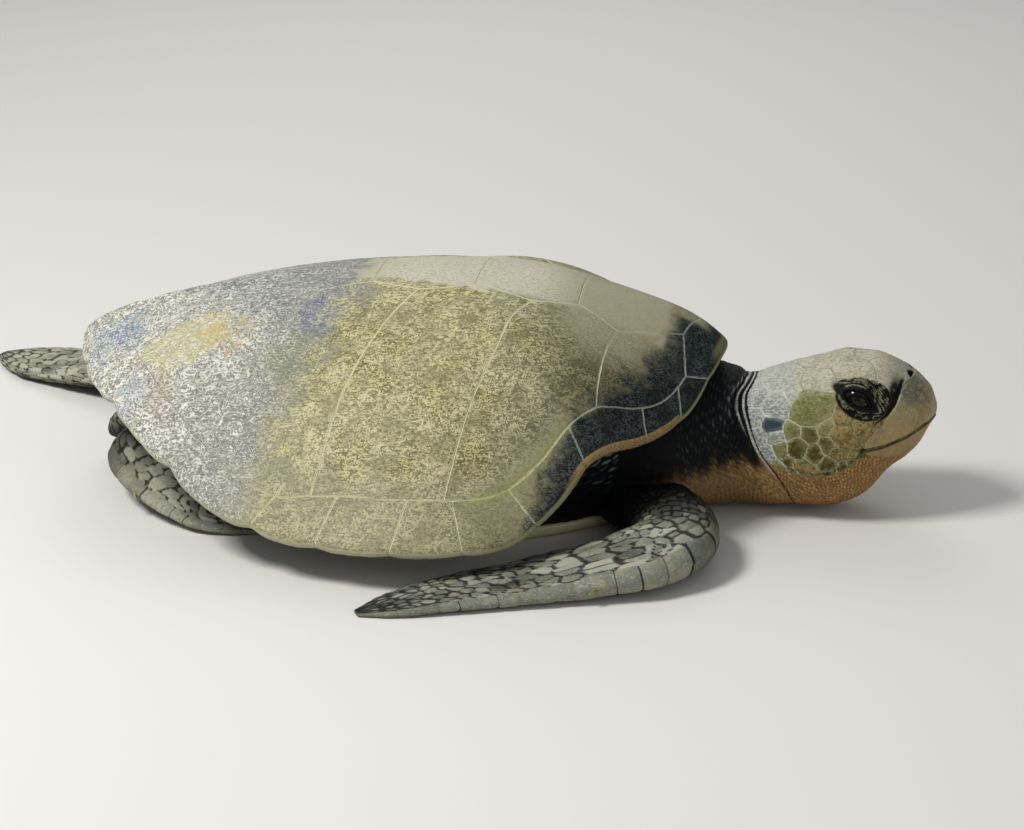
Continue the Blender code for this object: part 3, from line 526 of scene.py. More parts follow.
def scute(name, low, high, left, right, shell, rim_sides=()):
    """A horny plate: a patch of the dome blended from its four borders in plan (a Coons patch).

    P(u, v) = (1-v) low(u) + v high(u) + (1-u) left(v) + u right(v) - the bilinear patch of the corners.
    """
    def along(first, second):
        """Two opposite borders as points at the same shares, which lie closer towards the corners."""
        count = max(8, int(max(length_of(first), length_of(second)) / shell.grid))
        share = spread(lambda t: 1 + 1.5 * bell(np.minimum(t, 1 - t) * count, 0, 5), 0, 1, count)
        return share, *(np.stack([np.interp(share, np.linspace(0, 1, count), line[:, k]) for k in (0, 1)], 1)
                        for line in (resample(first, count), resample(second, count)))

    u, low, high = along(low, high)
    v, left, right = along(left, right)
    u, v = u[None, :, None], v[:, None, None]
    flat = ((1 - v) * low[None] + v * high[None] + (1 - u) * left[:, None] + u * right[:, None]
            - (1 - u) * (1 - v) * low[0] - u * (1 - v) * low[-1] - (1 - u) * v * high[0] - u * v * high[-1])
    share, reach = spot(flat[..., 0], flat[..., 1])
    # seams wander a little, alike on both sides; the rim is notched where two rear marginals meet
    mirror = folded(np.dstack([flat, 0 * reach]))
    loose = (1 - np.minimum(reach, 1) ** 10)[..., None] * shell.wander
    drift = np.stack([noise(mirror, 0.045, 5), noise(mirror, 0.045, 8) * np.tanh(mirror[..., 1] / 0.02)
                      * np.where(flat[..., 1] < 0, -1, 1)], -1)
    flat = flat + loose * drift
    notch = sum(bell(share, at, 0.010) * amount for at, amount in zip(RIM_SEAMS, RIM_NOTCHES))
    middle = np.array([WIDEST_AT, 0])
    flat = middle + (flat - middle) * (1 - shell.notch * notch * ease(reach, 0.93, 1.0))[..., None]
    share, reach = spot(flat[..., 0], flat[..., 1])
    thick = SCUTE + (RIM_SCUTE - SCUTE) * ease(reach, 0.85, 1.0)
    top = dome(flat, np.zeros(reach.shape))
    borders = {"low": top[0], "high": top[-1], "left": top[:, 0], "right": top[:, -1]}
    seam = np.min([near(top, line) for key, line in borders.items() if key not in rim_sides], axis=0)
    lip = np.full(reach.shape, 0.2)                      # far from the rim
    if rim_sides:
        lip = np.min([near(top, borders[key]) for key in rim_sides], axis=0)
    # a groove at each seam, a half-round rim, slow unevenness and faint growth rings
    groove = shell.seam_depth * bell(seam, 0, 0.8 * shell.seam_width)
    swell = 0.12 * MM * bell(seam, 3.0 * MM, 1.8 * MM)
    edge = round_edge(lip, 6 * MM)
    mirror = folded(top)
    uneven = 0.7 * MM * noise(mirror, 0.06, 11) + 0.25 * MM * noise(mirror, 0.014, 12)
    rings = np.sin(seam / (3.4 * MM) * TURN + 2 * noise(mirror, 0.02, 13))
    rings = 0.10 * MM * rings * np.exp(-seam / (22 * MM))
    upper = dome(flat, groove - swell + 0.5 * thick * edge - (uneven + rings) * (1 - edge))
    lower = dome(flat, thick * (1 - 0.5 * edge) + 0.0005)
    for layer in (upper, lower):
        for axis, end, inner, key in ((0, 0, 1, "low"), (0, -1, -2, "high"), (1, 0, 1, "left"),
                                      (1, -1, -2, "right")):
            if key not in rim_sides:
                pull = unit(np.take(top, inner, axis=axis) - np.take(top, end, axis=axis)) * GAP
                np.moveaxis(layer, axis, 0)[end] += pull
    seam, lip, reach = np.tile(seam, (2, 1)), np.concatenate([lip, lip * 0.6]), np.tile(reach, (2, 1))
    return thin_shell(name, upper, lower, {"seam": seam, "lip": lip, "reach": reach})


def inner_seam(start, end, side, count=121):
    """The costal-marginal seam between two shares of the half turn."""
    share = np.linspace(start, end, count)
    return plan(share, smooth(INNER_REACH, share)[:, 0], side)


def outer_rim(start, end, side, count=121):
    """The rim between two shares of the half turn."""
    return plan(np.linspace(start, end, count), 1.0, side)


def costal_root(number, side):
    """Where a costal seam meets the marginals."""
    return inner_seam(COSTAL_ROOT[number], COSTAL_ROOT[number], side, 1)[0]


def costal_seam(number, side):
    """From the marginals up to the vertebrals, bowed a little backwards by a half sine."""
    root = costal_root(number, side)
    tip = np.array([COSTAL_TIP_X[number], side * COSTAL_TIP_Y[number]])
    s = np.linspace(0, 1, 61)[:, None]
    return root + (tip - root) * s + np.array([COSTAL_BOW[number], 0]) * np.sin(np.pi * s)


def vertebral_side(number, side):
    """A vertebral's side: front corner, the tip where a costal seam arrives, rear corner."""
    corner = [(x, side * half) for x, half in zip(VERTEBRAL_X, VERTEBRAL_HALF)]
    corner.append(tuple(costal_root(-1, side)))
    tip = (COSTAL_TIP_X[number + 1], side * COSTAL_TIP_Y[number + 1])
    return np.array([corner[number], tip, corner[number + 1]])


def scute_borders():
    """Name, four borders and which of them lie on the rim, of every horny plate of the carapace."""
    first, tip_x, tip_y = RIM_SEAMS[0], COSTAL_TIP_X[0], COSTAL_TIP_Y[0]
    front = np.concatenate([outer_rim(first, 0, -1), outer_rim(0, first, 1)[1:]])
    point = (tip_x + NUCHAL_POINT, 0.0)
    rear = [costal_root(0, -1), (tip_x, -tip_y), point, (tip_x, tip_y), costal_root(0, 1)]
    yield "nuchal", rear, front, [rear[0], front[0]], [rear[-1], front[-1]], ("high",)
    last = len(VERTEBRAL_X) - 1
    for number in range(last + 1):
        right, left = vertebral_side(number, -1), vertebral_side(number, 1)
        rear = [right[-1], left[-1]]
        if number == last:
            rear = np.concatenate([inner_seam(COSTAL_ROOT[-1], 1, -1), inner_seam(1, COSTAL_ROOT[-1], 1)[1:]])
        front = [right[0], left[0]] if number else [right[0], point, left[0]]
        yield f"vertebral_{number + 1}", right[::-1], left[::-1], rear, front, ()
    for word, side in SIDES.items():
        for number in range(len(COSTAL_ROOT) - 1):
            front, rear = costal_seam(number, side), costal_seam(number + 1, side)
            corner = [(VERTEBRAL_X[number], side * VERTEBRAL_HALF[number])] if number else []
            outer = inner_seam(COSTAL_ROOT[number], COSTAL_ROOT[number + 1], side)
            yield f"costal_{word}_{number + 1}", outer, [front[-1], *corner, rear[-1]], front, rear, ()
        for number in range(len(RIM_SEAMS) - 1):
            outer = outer_rim(RIM_SEAMS[number], RIM_SEAMS[number + 1], side)
            inner = inner_seam(INNER_SEAMS[number], INNER_SEAMS[number + 1], side)
            front, rear = [outer[0], inner[0]], [outer[-1], inner[-1]]
            yield f"marginal_{word}_{number + 1}", outer, inner, front, rear, ("low",)


def scute_material(shell):
    """Keratin scutes, grown in layers and worn by sand: satin, with flaking pale layers over olive.

    Strokes are 2 to 5 mm, worm-like flakes 6 mm, seams 2 mm, blotches 35 and 110 mm.
    """
    made, shader, add, paint = finish_of("Weathered keratin scutes", IOR=1.5)
    x, z, place = mirrored_place(add)
    seam, lip, reach = (add("Attribute", attribute_name=key, out=2) for key in ("seam", "lip", "reach"))
    broad, blotch, fray, strokes, fleck, flake, chips, curls, grain = waves(
        add, place, (9, 4, 0), (28, 3, 0), (45, 5, 0.4), (540, 1.5, 0.6, (0.45, 1, 1)), (450, 2, 0.5),
        (120, 2, 2.2, (0.8, 1, 1)), (250, 2, 1.4, (0.6, 1, 1)), (150, 2, 2.2, (0.85, 1, 1)), (1300, 2, 0))

    def frayed(field, bare, full, loose):
        """A zone from bare to full, its border frayed by noise."""
        field = add("Math MULTIPLY_ADD", fray, loose, field)
        return add("MapRange SMOOTHSTEP", field, bare + loose / 2, full + loose / 2)

    def zone(weights, bare, full, loose=0.0):
        """A zone that starts where the weighted sum of the place passes a line."""
        return frayed(add("VectorMath DOT_PRODUCT", place, weights, out=1), bare, full, loose)

    def patch(centre, radius, soft, loose):
        """A round zone about a centre."""
        return frayed(add("VectorMath DISTANCE", place, centre, out=1), radius + soft, radius - soft, loose)

    def ridged(field, wide, thin):
        """Thin winding lines: where a noise field is near its middle."""
        return add("MapRange SMOOTHSTEP", add("Math ABSOLUTE", add("Math SUBTRACT", field, 0.5)), wide, thin)

    along, across = (1, 0, 0), (0, 1, 0)
    rear, behind = zone((1, 0.33, 0), 0.030, -0.060, 0.09), zone((1, 0.33, 0), 0.030, -0.140, 0.06)
    # painted shade on the front of the shell: the deep zone darkens towards the shoulder, which is painted
    # near-black
    deep_shade, nape = zone((1, 0.50, 0), 0.222, 0.288, 0.03), zone(along, 0.262, 0.286, 0.02)
    shoulder_shade = add("Math MAXIMUM", zone((1, 0.50, 0), 0.268, 0.318, 0.06), nape)
    ridge = add("Math MULTIPLY", zone(across, 0.062, 0.046, 0.016), zone(along, 0.062, 0.120, 0.03))
    ridge = add("Math MAXIMUM", ridge, zone(across, 0.037, 0.029, 0.006))
    crown = add("Math MAXIMUM", zone((0, 0, 1), 0.2230, 0.2244, 0.007), ridge)
    crown = add("Math MULTIPLY", crown, zone(along, -0.055, -0.010, 0.05))
    crown = add("Math SUBTRACT", crown, nape, use_clamp=True)
    front = patch((0.218, 0.048, 0.192), 0.052, 0.034, 0.05)
    flank = add("MapRange SMOOTHSTEP", reach, 0.78, 0.90)
    crest = add("MapRange SMOOTHSTEP", z, 0.175, 0.205)

    # worm-like flakes and chips, more of them towards the tail, gathered in drifts
    drift = add("Math MULTIPLY_ADD", crest, -0.30, add("Math MULTIPLY_ADD", blotch, 1.1, -0.55))
    drift = add("Math MULTIPLY_ADD", behind, 0.75, drift, use_clamp=True)
    worm = add("Math MULTIPLY_ADD", drift, 0.052, 0.016)
    worm = ridged(flake, worm, add("Math MULTIPLY", worm, 0.4))
    chip = add("MapRange SMOOTHSTEP", add("Math MULTIPLY_ADD", drift, 0.11, chips), 0.63, 0.71)
    flakes = add("Math MULTIPLY", add("Math MAXIMUM", worm, chip), rear)
    stroke = add("Math MULTIPLY_ADD", shoulder_shade, -0.12, add("Math ADD", strokes, fleck))
    curl = add("Math MULTIPLY", ridged(curls, 0.085, 0.055), add("MapRange SMOOTHSTEP", chips, 0.40, 0.49))
    curl = add("Math MULTIPLY", curl, add("MapRange", fray, 0.36, 0.56, 0.35, 1))
    green = add("Math MULTIPLY", zone(along, 0.085, 0.140), zone(along, 0.210, 0.185))
    green = add("Math MULTIPLY", green, add("MapRange", lip, 0.035, 0.045))
    green = add("Math MULTIPLY", green, zone(across, 0.16, 0.19))
    fore = zone(along, 0.195, 0.225)
    brim = add("Math MULTIPLY", fore, zone(across, 0.048, 0.012, 0.012))
    brim = add("Math MULTIPLY", brim, add("MapRange", lip, 0.015, 0.010))
    spine = add("Math MULTIPLY", nape, zone(across, 0.018, 0.006, 0.010))
    spine = add("Math MULTIPLY", spine, zone(along, 0.316, 0.300, 0.012))

    # olive, pale and the ground carry the painted shade of the deep zone and the shoulder
    olive = paint(shell.olive_hex, (blotch, 0.44, 0.66, 1, "#6a643d"), (broad, 0.48, 0.68, 0.8, "#87815a"),
                  (x, 0.07, 0.20, 0.85, "#4d482a"), (deep_shade, 0, 1, 0.5, "#2c2a1a"))
    # the near-black painted shade of the shoulder, a little lighter and bluer higher up
    dark = paint("#0a0d0d", (blotch, 0.45, 0.66, 1, "#191e1c"), (z, 0.140, 0.185, 0.9, "#122224"))
    grey = paint("#7b7a70", (blotch, 0.42, 0.60, 1, "#73736d"), (broad, 0.50, 0.66, 0.8, "#8d8870"),
                 (crest, 0, 1, 0.8, "#60635f"))
    stains = [(patch(centre, radius, 0.022, 0.10), hue) for hue, radius, centre in STAINS]
    grey = paint(grey, *((field, 0, 1, 0.85, hue) for field, hue in stains))
    ground = paint(olive, (flank, 0, 1, 0.7, paint("#868164", (broad, 0.45, 0.60, 0.7, "#797456"))),
                   (rear, grey), (shoulder_shade, dark))
    # the cracks and the pale flecks are darkened over the shoulder as painted shade too
    cracks = paint("#524d2f", (flank, 0, 1, 0.6, "#6f6a4c"), (rear, "#6c6c65"), (shoulder_shade, "#050707"))
    pale = paint("#c3bc91", (blotch, 0.48, 0.64, 0.8, "#bdb57e"), (flank, 0, 1, 0.6, "#a59f7e"),
                 (x, 0.09, 0.20, 0.8, "#958e68"), (deep_shade, 0, 1, 0.5, "#67633f"), (rear, 0, 1, 0.95, "#9f9d93"),
                 (shoulder_shade, 0.2, 1, 0.95, "#333a3d"))
    white = paint("#dcdacf", (x, -0.17, -0.25, 0.9, "#e6e2d3"), (blotch, 0.50, 0.62, 0.6, "#bab69d"),
                  (crest, 0, 1, 0.7, "#c8cac6"))
    dusty = paint("#bdb7a2", (fleck, 0.48, 0.66, 0.9, "#a29c88"), (x, 0.01, -0.06, 0.8, "#a7a28b"),
                  (x, 0.13, 0.20, 0.95, "#928c71"), (strokes, 0.50, 0.66, 0.4, "#817c62"))
    dull = paint("#8e896d", (fleck, 0.50, 0.66, 0.7, "#726d53"), (strokes, 0.52, 0.66, 0.5, "#a39d81"))
    colour = paint(ground, (stroke, 0.97, 0.83, 0.55, cracks), (stroke, 1.00, 1.18, 0.30, pale),
                   (curl, 0, 1, 0.9, pale), (flakes, 0, 1, 0.9, white),
                   *((add("Math MULTIPLY", field, rear), 0, 1, 0.28, hue) for field, hue in stains),
                   (front, 0, 1, 0.86, dull), (crown, 0, 1, 0.95, dusty),
                   (spine, 0, 1, 0.85, paint("#8d886b", (fleck, 0.50, 0.66, 0.6, "#626650"))))

    # the pale seams are ragged at their edges, fade here and there, and hide under dust and in the worn rear
    hidden = add("Math MULTIPLY_ADD", add("Math MAXIMUM", crown, front), -0.6, 1)
    hidden = add("Math MULTIPLY_ADD", rear, -0.5, hidden, use_clamp=True)
    line = add("Math MULTIPLY_ADD", chips, 0.8 * shell.seam_width, seam)
    line = add("MapRange SMOOTHSTEP", line, 1.02 * shell.seam_width, 0.76 * shell.seam_width)
    line = add("Math MULTIPLY", line, add("MapRange", blotch, 0.36, 0.50, 0.72, 1))
    line = add("Math MULTIPLY", line, hidden)
    halo = add("Math MULTIPLY", add("MapRange SMOOTHSTEP", seam, 0.014, 0.001), green)
    # the seams are dimmed over the shoulder as painted shade
    line_colour = paint("#c8c39c", (rear, "#bdbbab"), (shoulder_shade, "#7d8477"), (green, "#b6b77d"))
    # a brown band on the rim over the neck
    band = paint("#86704a", (fleck, 0.48, 0.64, 0.7, "#5f4f33"), (strokes, 0.52, 0.64, 0.5, "#9d8558"))
    over_neck = add("Math MULTIPLY", fore, zone(across, 0.095, 0.115))
    over_neck = add("Math MULTIPLY", add("MapRange SMOOTHSTEP", lip, 0.0072, 0.0052), over_neck)
    colour = paint(colour, (halo, 0, 1, 0.4, "#757a3a"), (line, 0, 1, 0.95, line_colour),
                   (brim, 0, 1, 0.85, "#6c6549"),
                   (lip, 0.0036, 0.0016, 0.8, paint("#aba88e", (x, 0.10, 0.18, 1, "#8b8d66"))),
                   (over_neck, band))
    high = add("Math MULTIPLY_ADD", flakes, 1, add("Math MULTIPLY_ADD", stroke, 0.8, grain))
    # the specular level is lowered over the shoulder to deepen its painted shade
    fill(shader, {"Base Color": colour, "Roughness": add("Math MULTIPLY_ADD", hidden, -0.30, 0.82),
                  "Specular IOR Level": add("MapRange", shoulder_shade, 0, 1, 0.3, 0.1),
                  "Normal": add("Bump", Strength=0.6, Distance=0.0005, Height=high)})
    return made


# Skin ------------------------------------------------------------------------------------------------
FINISHES = ("border", "lined", "crown", "grey", "slate", "olive", "cheek", "tan", "warm", "pale", "white",
            "lid", "fleck", "crease")


def unmarked(shape):
    """The skin's masks, all bare, on a grid."""
    return {key: np.zeros(shape) for key in FINISHES}


def oval(form, x, turn, power=HEAD_POWER):
    """Points round a body along X: y = half |cos|^p, z = middle + above or below |sin|^p."""
    top, low, half, mid = np.moveaxis(smooth(form, x), -1, 0)
    c, s = np.cos(turn), np.sin(turn)
    tall = np.where(s > 0, top - mid, mid - low)
    return np.stack([x + 0 * turn, half * bend(c, power), mid + tall * bend(s, power)], axis=-1)


def side_of_head(x, z):
    """Half width of the head at a height, from the same oval."""
    top, low, half, mid = smooth(HEAD_FORM, x).T
    tall = np.where(z > mid, top - mid, mid - low)
    up = np.clip(np.abs(z - mid) / tall, 0, 1)
    return half * np.clip(1 - up ** (2 / HEAD_POWER), 0, 1) ** (HEAD_POWER / 2)


def eye_frame():
    """The eye's outward, along-slit and upward directions, on the left side."""
    out = unit(GAZE)
    along = unit(SLIT - (SLIT @ out) * out)
    up = np.cross(along, out)
    return out, along, up * np.sign(up[2])


def beak_depth(x, z):
    """How far a point of the side view lies in front of the beak's rear border, and below the mouth."""
    border = LOWER_BEAK[::-1] + UPPER_BEAK
    behind = np.interp(z, [p[1] for p in border], [p[0] for p in border])
    return x - behind, z - np.interp(x, *np.array(MOUTH).T)


def make_head_part():
    """The head: an oval loft, shaped by lids over the eyeball, plates, grooves and a granular throat."""
    rows = spread(lambda x: 1 + bell(x, 0.462, 0.028) + 2.6 * ease(x, 0.505, HEAD_TO),
                  HEAD_FROM, HEAD_TO, 176)
    columns = spread(lambda t: 0.75 + 0.9 * bell(np.abs(t - np.pi / 2), 0.95, 0.55) + 0.35 * np.cos(t) ** 2,
                     0, TURN, 249)[:-1]
    x, turn = np.meshgrid(rows, columns, indexing="ij")
    base = oval(HEAD_FORM, x, turn)
    normal = grid_normals(base, base - base.mean(1, keepdims=True))
    side = np.where(base[..., 1] < 0, -1.0, 1.0)
    flip = np.stack([np.ones_like(side), side, np.ones_like(side)], -1)
    half = folded(base)                                  # both sides worked out as the left one
    hx, hz = half[..., 0], half[..., 2]
    v = unmarked(x.shape)

    # plates and cheek scales; below the throat line a fine granular skin
    seeds = [(sx, side_of_head(sx, sz)[0], sz) for sx, sz, _, _ in CHEEK_SCALES]
    sizes = [size for _, _, size, _ in CHEEK_SCALES]
    words = [word for *_, word in CHEEK_SCALES]
    for sx, sy, size in CROWN_PLATES:
        top, _, wide, mid = smooth(HEAD_FORM, sx)[0]
        sz = mid + (top - mid) * max(0.0, 1 - abs(sy / wide) ** (2 / HEAD_POWER)) ** (HEAD_POWER / 2)
        for sign in ((1, -1) if sy else (1,)):
            seeds.append((sx, sign * sy, sz))
            sizes.append(size)
            words.append("crown")
    wobble = half + np.stack([1.6 * MM * noise(half, 0.013, n, 1) + 0.6 * MM * noise(half, 0.004, n + 5, 1)
                              for n in (31, 32, 33)], -1)
    border, mark = power_cells(wobble, np.array(seeds), np.array(sizes))
    below = smooth(THROAT_LINE, x)[..., 0] + 1.5 * MM * noise(half, 0.012, 29) - hz
    throat = ease(below, -0.0015, 0.0015)
    grit, _ = cells(x / (3.4 * MM), walked(half, 1) / (3.8 * MM), 41)
    border = np.where(throat > 0.5, grit * 3.4 * MM, border)
    for word in set(words):
        v[word] = (np.array(words)[mark] == word) * (1.0 - throat)
    v["border"], v["warm"] = border, throat
    high = ease(hz, 0.126, 0.140)
    v["grey"] = np.maximum(v["grey"], v["crown"] * ease(hx + 0.004 * noise(half, 0.008, 26), 0.404, 0.388)
                           * ease(hz, 0.160, 0.144))
    stain = bell(hx, 0.4930, 0.0060) * bell(hz, 0.136, 0.011)
    light = np.clip(0.72 + 0.25 * v["olive"] + 0.5 * noise(half, 0.012, 28), 0.3, 1)
    v["lined"] = ((1 - throat) * (1 - 0.65 * v["tan"] * ease(hx, 0.441, 0.449)) * (1 - stain)
                  * (1 - 0.75 * high) * light)
    raised = (0.60 * MM * (1 - bell(border, 0, 1.4 * MM)) * (1 - throat) * (1 - 0.85 * high)
              + 0.38 * MM * (1 - bell(border, 0, 0.9 * MM)) * throat)
    raised = raised + 0.8 * MM * noise(half, 0.022, 21) * (1 - throat) + 0.25 * MM * noise(half, 0.0045, 22)

    def gaps(line):
        """Distances in the side view to points along a line."""
        return np.sqrt(((half[..., None, ::2] - resample(line, 60)) ** 2).sum(-1))

    # the beak's seat, its rear crease, the mouth, and the fold that runs back from its corner
    front, over = beak_depth(hx, hz)
    gap = gaps(BEAK_CREASE)
    width = (3.6 - 2.4 * np.abs(2 * (gap.argmin(-1) / 59) - 0.7)) * MM
    gap = gap.min(-1)
    crease = bell(gap, 0, np.maximum(width + 0.6 * MM * noise(half, 0.005, 24, 1), 0.6 * MM))
    raised = raised - 1.3 * MM * ease(front, 0.0, 0.004) - 2.6 * MM * crease
    lips = bell(over, 0, 1.5 * MM) * ease(hx, 0.455, 0.468)
    smile = gaps(SMILE).min(-1) + 0.5 * MM * noise(half, 0.006, 25)
    raised = raised - 1.5 * MM * lips - 1.0 * MM * bell(smile, 0, 1.3 * MM)
    raised = raised + 1.6 * MM * bell(hx, 0.462, 0.012) * bell(hz, 0.074, 0.004)        # a pout
    # crease: near-black painted shade in the beak's rear crease, along the mouth slit and in the fold from
    # its corner
    v["crease"] = np.maximum(np.clip(crease * 1.5, 0, 1), np.maximum(lips, 0.75 * bell(smile, 0, 0.9 * MM)))
    # ripples of skin beside the crease
    raised = raised + 0.5 * MM * (np.sin(gap / (3.4 * MM) * TURN) * np.exp(-gap / (7 * MM)) * (front < 0.001))
    nostril = np.linalg.norm((half - NOSTRIL_AT) / NOSTRIL_OVAL, axis=-1)
    raised = raised - 3.4 * MM * bell(nostril, 0, 4.4 * MM, 4) + 0.7 * MM * bell(nostril, 5.6 * MM, 1.5 * MM)
    # painted shade inside the nostril
    v["crease"] = np.maximum(v["crease"], ease(nostril, 5.6 * MM, 4.4 * MM))
    made = base + normal * raised[..., None]

    # lids over the eyeball: a and b run along and up from the middle of the slit
    out, along, up = eye_frame()
    local = made * flip - (EYE_AT + out * EYE_RADIUS)
    a, b = local @ along, local @ up
    away = made * flip - EYE_AT
    distance = np.linalg.norm(away, axis=-1)
    facing = (away @ out) / distance
    orbit = np.sqrt(((a - 0.002) / 0.0275) ** 2 + ((b - 0.0055) / 0.0210) ** 2)
    near_eye = (facing > 0.0) * ease(orbit, 1.25, 0.85)
    slit = np.abs(a / SLIT_LONG) ** ALMOND + np.abs(b / np.where(b > 0, SLIT_UPPER, SLIT_LOWER)) ** ALMOND
    slit = slit ** (1 / ALMOND)
    skin, soft = EYE_RADIUS + 2.0 * MM, 5 * MM
    over_ball = (distance + skin + np.sqrt((distance - skin) ** 2 + soft ** 2)) / 2
    folds = np.sin((slit * 2.75 + 0.45 * noise(half, 0.006, 51)) * TURN)
    folds = folds * ease(slit, 1.0, 1.35) * ease(orbit, 1.05, 0.8)
    spots = noise(half, 0.0036, 52, 1)
    target = over_ball + 0.75 * MM * folds + 0.4 * MM * spots * ease(slit, 1.0, 1.3)
    target = np.where(slit < 1.0, EYE_RADIUS - 3.5 * MM, target)
    blend = np.where(slit < 1.0, 1.0, near_eye)
    moved = EYE_AT + away / distance[..., None] * (distance + (target - distance) * blend)[..., None]
    made = np.where((near_eye > 0)[..., None], moved * flip, made)
    lid = ease(orbit + 0.06 * spots, 1.04, 0.90) * (facing > 0)
    v["lid"] = np.maximum(lid, np.clip(1.2 * stain, 0, 0.92))
    v["fleck"] = np.maximum(lid * ease(slit, 1.15, 1.35) * ease(0.7 * folds + 1.3 * spots, 0.15, 0.75)
                            * ease(orbit, 0.98, 0.85), 0.5 * ease(spots, 0.25, 0.6) * stain * (1 - lid))
    # painted shade in the eye's rear corner, in the fold over the orbit and along the slit, laid into crease
    corner = np.clip(1.4 * bell(a, -0.0215, 0.007) * bell(b, 0.001, 0.0042), 0, 1)
    rings = 0.9 * bell(orbit, 0.99, 0.055) * ease(b - 0.4 * a, 0.010, -0.002)
    v["crease"] = np.max([v["crease"], rings, ease(slit, 1.25, 1.05) * lid, corner], axis=0)
    for key in ("crown", "grey", "slate", "olive", "cheek", "tan", "lined"):
        v[key] = v[key] * (1 - lid)
    v["border"] = v["border"] + 0.01 * v["lid"]
    return closed_loft("head_part", made, v)


def make_lid_rims():
    """The free edge of the lids: a thin ring of skin, an almond on a sphere just over the eyeball."""
    out, along, up = eye_frame()
    t = np.linspace(0, TURN, 96, endpoint=False)
    phi = np.linspace(0, TURN, 10, endpoint=False)[None, :, None]
    a, b = (SLIT_LONG + 0.1 * MM) * bend(np.cos(t), 2 / ALMOND), bend(np.sin(t), 2 / ALMOND)
    b = b * (np.where(b > 0, SLIT_UPPER, SLIT_LOWER) + 0.3 * MM)
    path = EYE_AT + out * EYE_RADIUS + a[:, None] * along + b[:, None] * up
    radial = unit(path - EYE_AT)
    path = EYE_AT + radial * (EYE_RADIUS + 0.7 * MM)
    across = unit(np.cross(unit(np.roll(path, -1, 0) - np.roll(path, 1, 0)), radial))
    size = (1.25 + 0.15 * np.sin(9 * t))[:, None, None] * MM
    rings = path[:, None] + size * (np.cos(phi) * radial[:, None] + np.sin(phi) * across[:, None])
    # the rims carry the lids' dark and part of the crease's painted shade
    marks = {**dict.fromkeys(FINISHES, 0.0), "lid": 1.0, "crease": 0.85, "border": 0.01}
    return [closed_loft("lid_rim_" + word, rings * np.array([1, side, 1]), marks, join=True)
            for word, side in SIDES.items()]


def make_neck_part():
    """The neck: an oval loft sheared to the collar's slant, with upright wrinkles and stacked folds."""
    rows = spread(lambda s: 0.7 + 1.2 * ease(s, 0.2, 0.6), 0, 1, 100)
    columns = np.linspace(0, TURN, 168, endpoint=False)
    s, turn = np.meshgrid(rows, columns, indexing="ij")
    first = oval(NECK_FORM, np.full_like(turn, 0.350), turn)
    collar = smooth(COLLAR, first[..., 2])[..., 0]
    x = NECK_FROM + (collar - NECK_FROM) * s
    base = oval(NECK_FORM, x, turn)
    skull = oval(HEAD_FORM, x, turn)
    base = base + (skull - base) * ease(collar - x, 0.020, 0.0)[..., None] * 0.75
    normal = grid_normals(base, base - base.mean(1, keepdims=True))
    mirror, z = folded(base), base[..., 2]
    v = unmarked(s.shape)
    streak = noise(np.stack([x / 0.0035, mirror[..., 1] / 0.03, z / 0.03], -1), 1.0, 61)
    low = ease(z + 0.014 * streak, 0.080, 0.046)
    around = walked(mirror, 1)
    upright, _ = cells(x / (3.6 * MM) + 0.45 * noise(mirror, 0.02, 62), around / (15 * MM), 63)
    grit, _ = cells(x / (4.4 * MM), around / (4.8 * MM), 65)
    border = np.where(low > 0.85, grit * 4.4 * MM, upright * 3.6 * MM)
    raised = (0.9 + 0.3 * low) * MM * (1 - bell(border, 0, 0.9 * MM)) + 0.9 * MM * noise(mirror, 0.02, 66)
    back = collar - x                                     # distance behind the collar's edge
    edge_wave = 2.3 * MM * noise(mirror * [0, 1, 1], 0.022, 67) + 0.7 * MM * noise(mirror, 0.008, 68)
    sides, high = ease(z, 0.034, 0.066), ease(z, 0.075, 0.115)
    apart = 0.50 + 0.60 * bell(z, 0.114, 0.024)           # the folds part at mid height
    rows_of_folds = ((1.6, 2.1, 2.7, 1.0), (8.2, 2.2, 2.7, 0.45 + 0.55 * high), (14.6, 2.6, 2.0, high))
    folds = sum(size * MM * share * bell(back + edge_wave * (0.5 + 0.6 * n), at * MM * apart, wide * MM)
                for n, (at, wide, size, share) in enumerate(rows_of_folds))
    raised = raised * ease(back, 0.003, 0.016) + (folds - 0.9 * MM * ease(back, 0.020, 0.004)) * sides
    v["border"] = border + 0.004 * ease(back, 0.014, 0.006) * ease(z, 0.050, 0.070)
    v["warm"] = low * 0.95 * ease(x, 0.258, 0.305)
    # blue-grey streaks on the upright wrinkles, as slate: painted highlights
    v["slate"] = ((1 - low) * ease(upright, 0.22, 0.5) * ease(x, 0.275, 0.305)
                  * np.clip(0.30 + 0.6 * noise(mirror, 0.02, 69), 0.05, 0.65))
    v["grey"] = (np.clip((folds / MM - 1.5) / 0.8, 0, 1) * sides
                 * np.clip(0.85 + 0.4 * noise(mirror, 0.01, 70), 0, 1))
    # crease: painted shade in the hollows between the folds at the collar and between the upright wrinkles
    v["crease"] = np.maximum(
        ease(back, 0.017, 0.012) * np.clip(1.05 - folds / (1.25 * MM), 0, 1) * ease(z, 0.046, 0.066) * 0.9,
        ease(upright, 0.20, 0.08) * ease(z, 0.044, 0.070) * ease(back, 0.008, 0.02) * 0.75)
    return closed_loft("neck_part", base + normal * raised[..., None], v)


def belly_radius(angle):
    """Radius of the plastron's outline about the widest line's centre."""
    share = np.abs((angle + np.pi) % TURN - np.pi) / np.pi
    return smooth(BELLY_REACH, share)[..., 0]


def level_ring(radius, turn, z):
    """A ring about the widest line's centre, at a height."""
    return np.stack([WIDEST_AT + radius * np.cos(turn), radius * np.sin(turn), z + 0 * turn], axis=1)


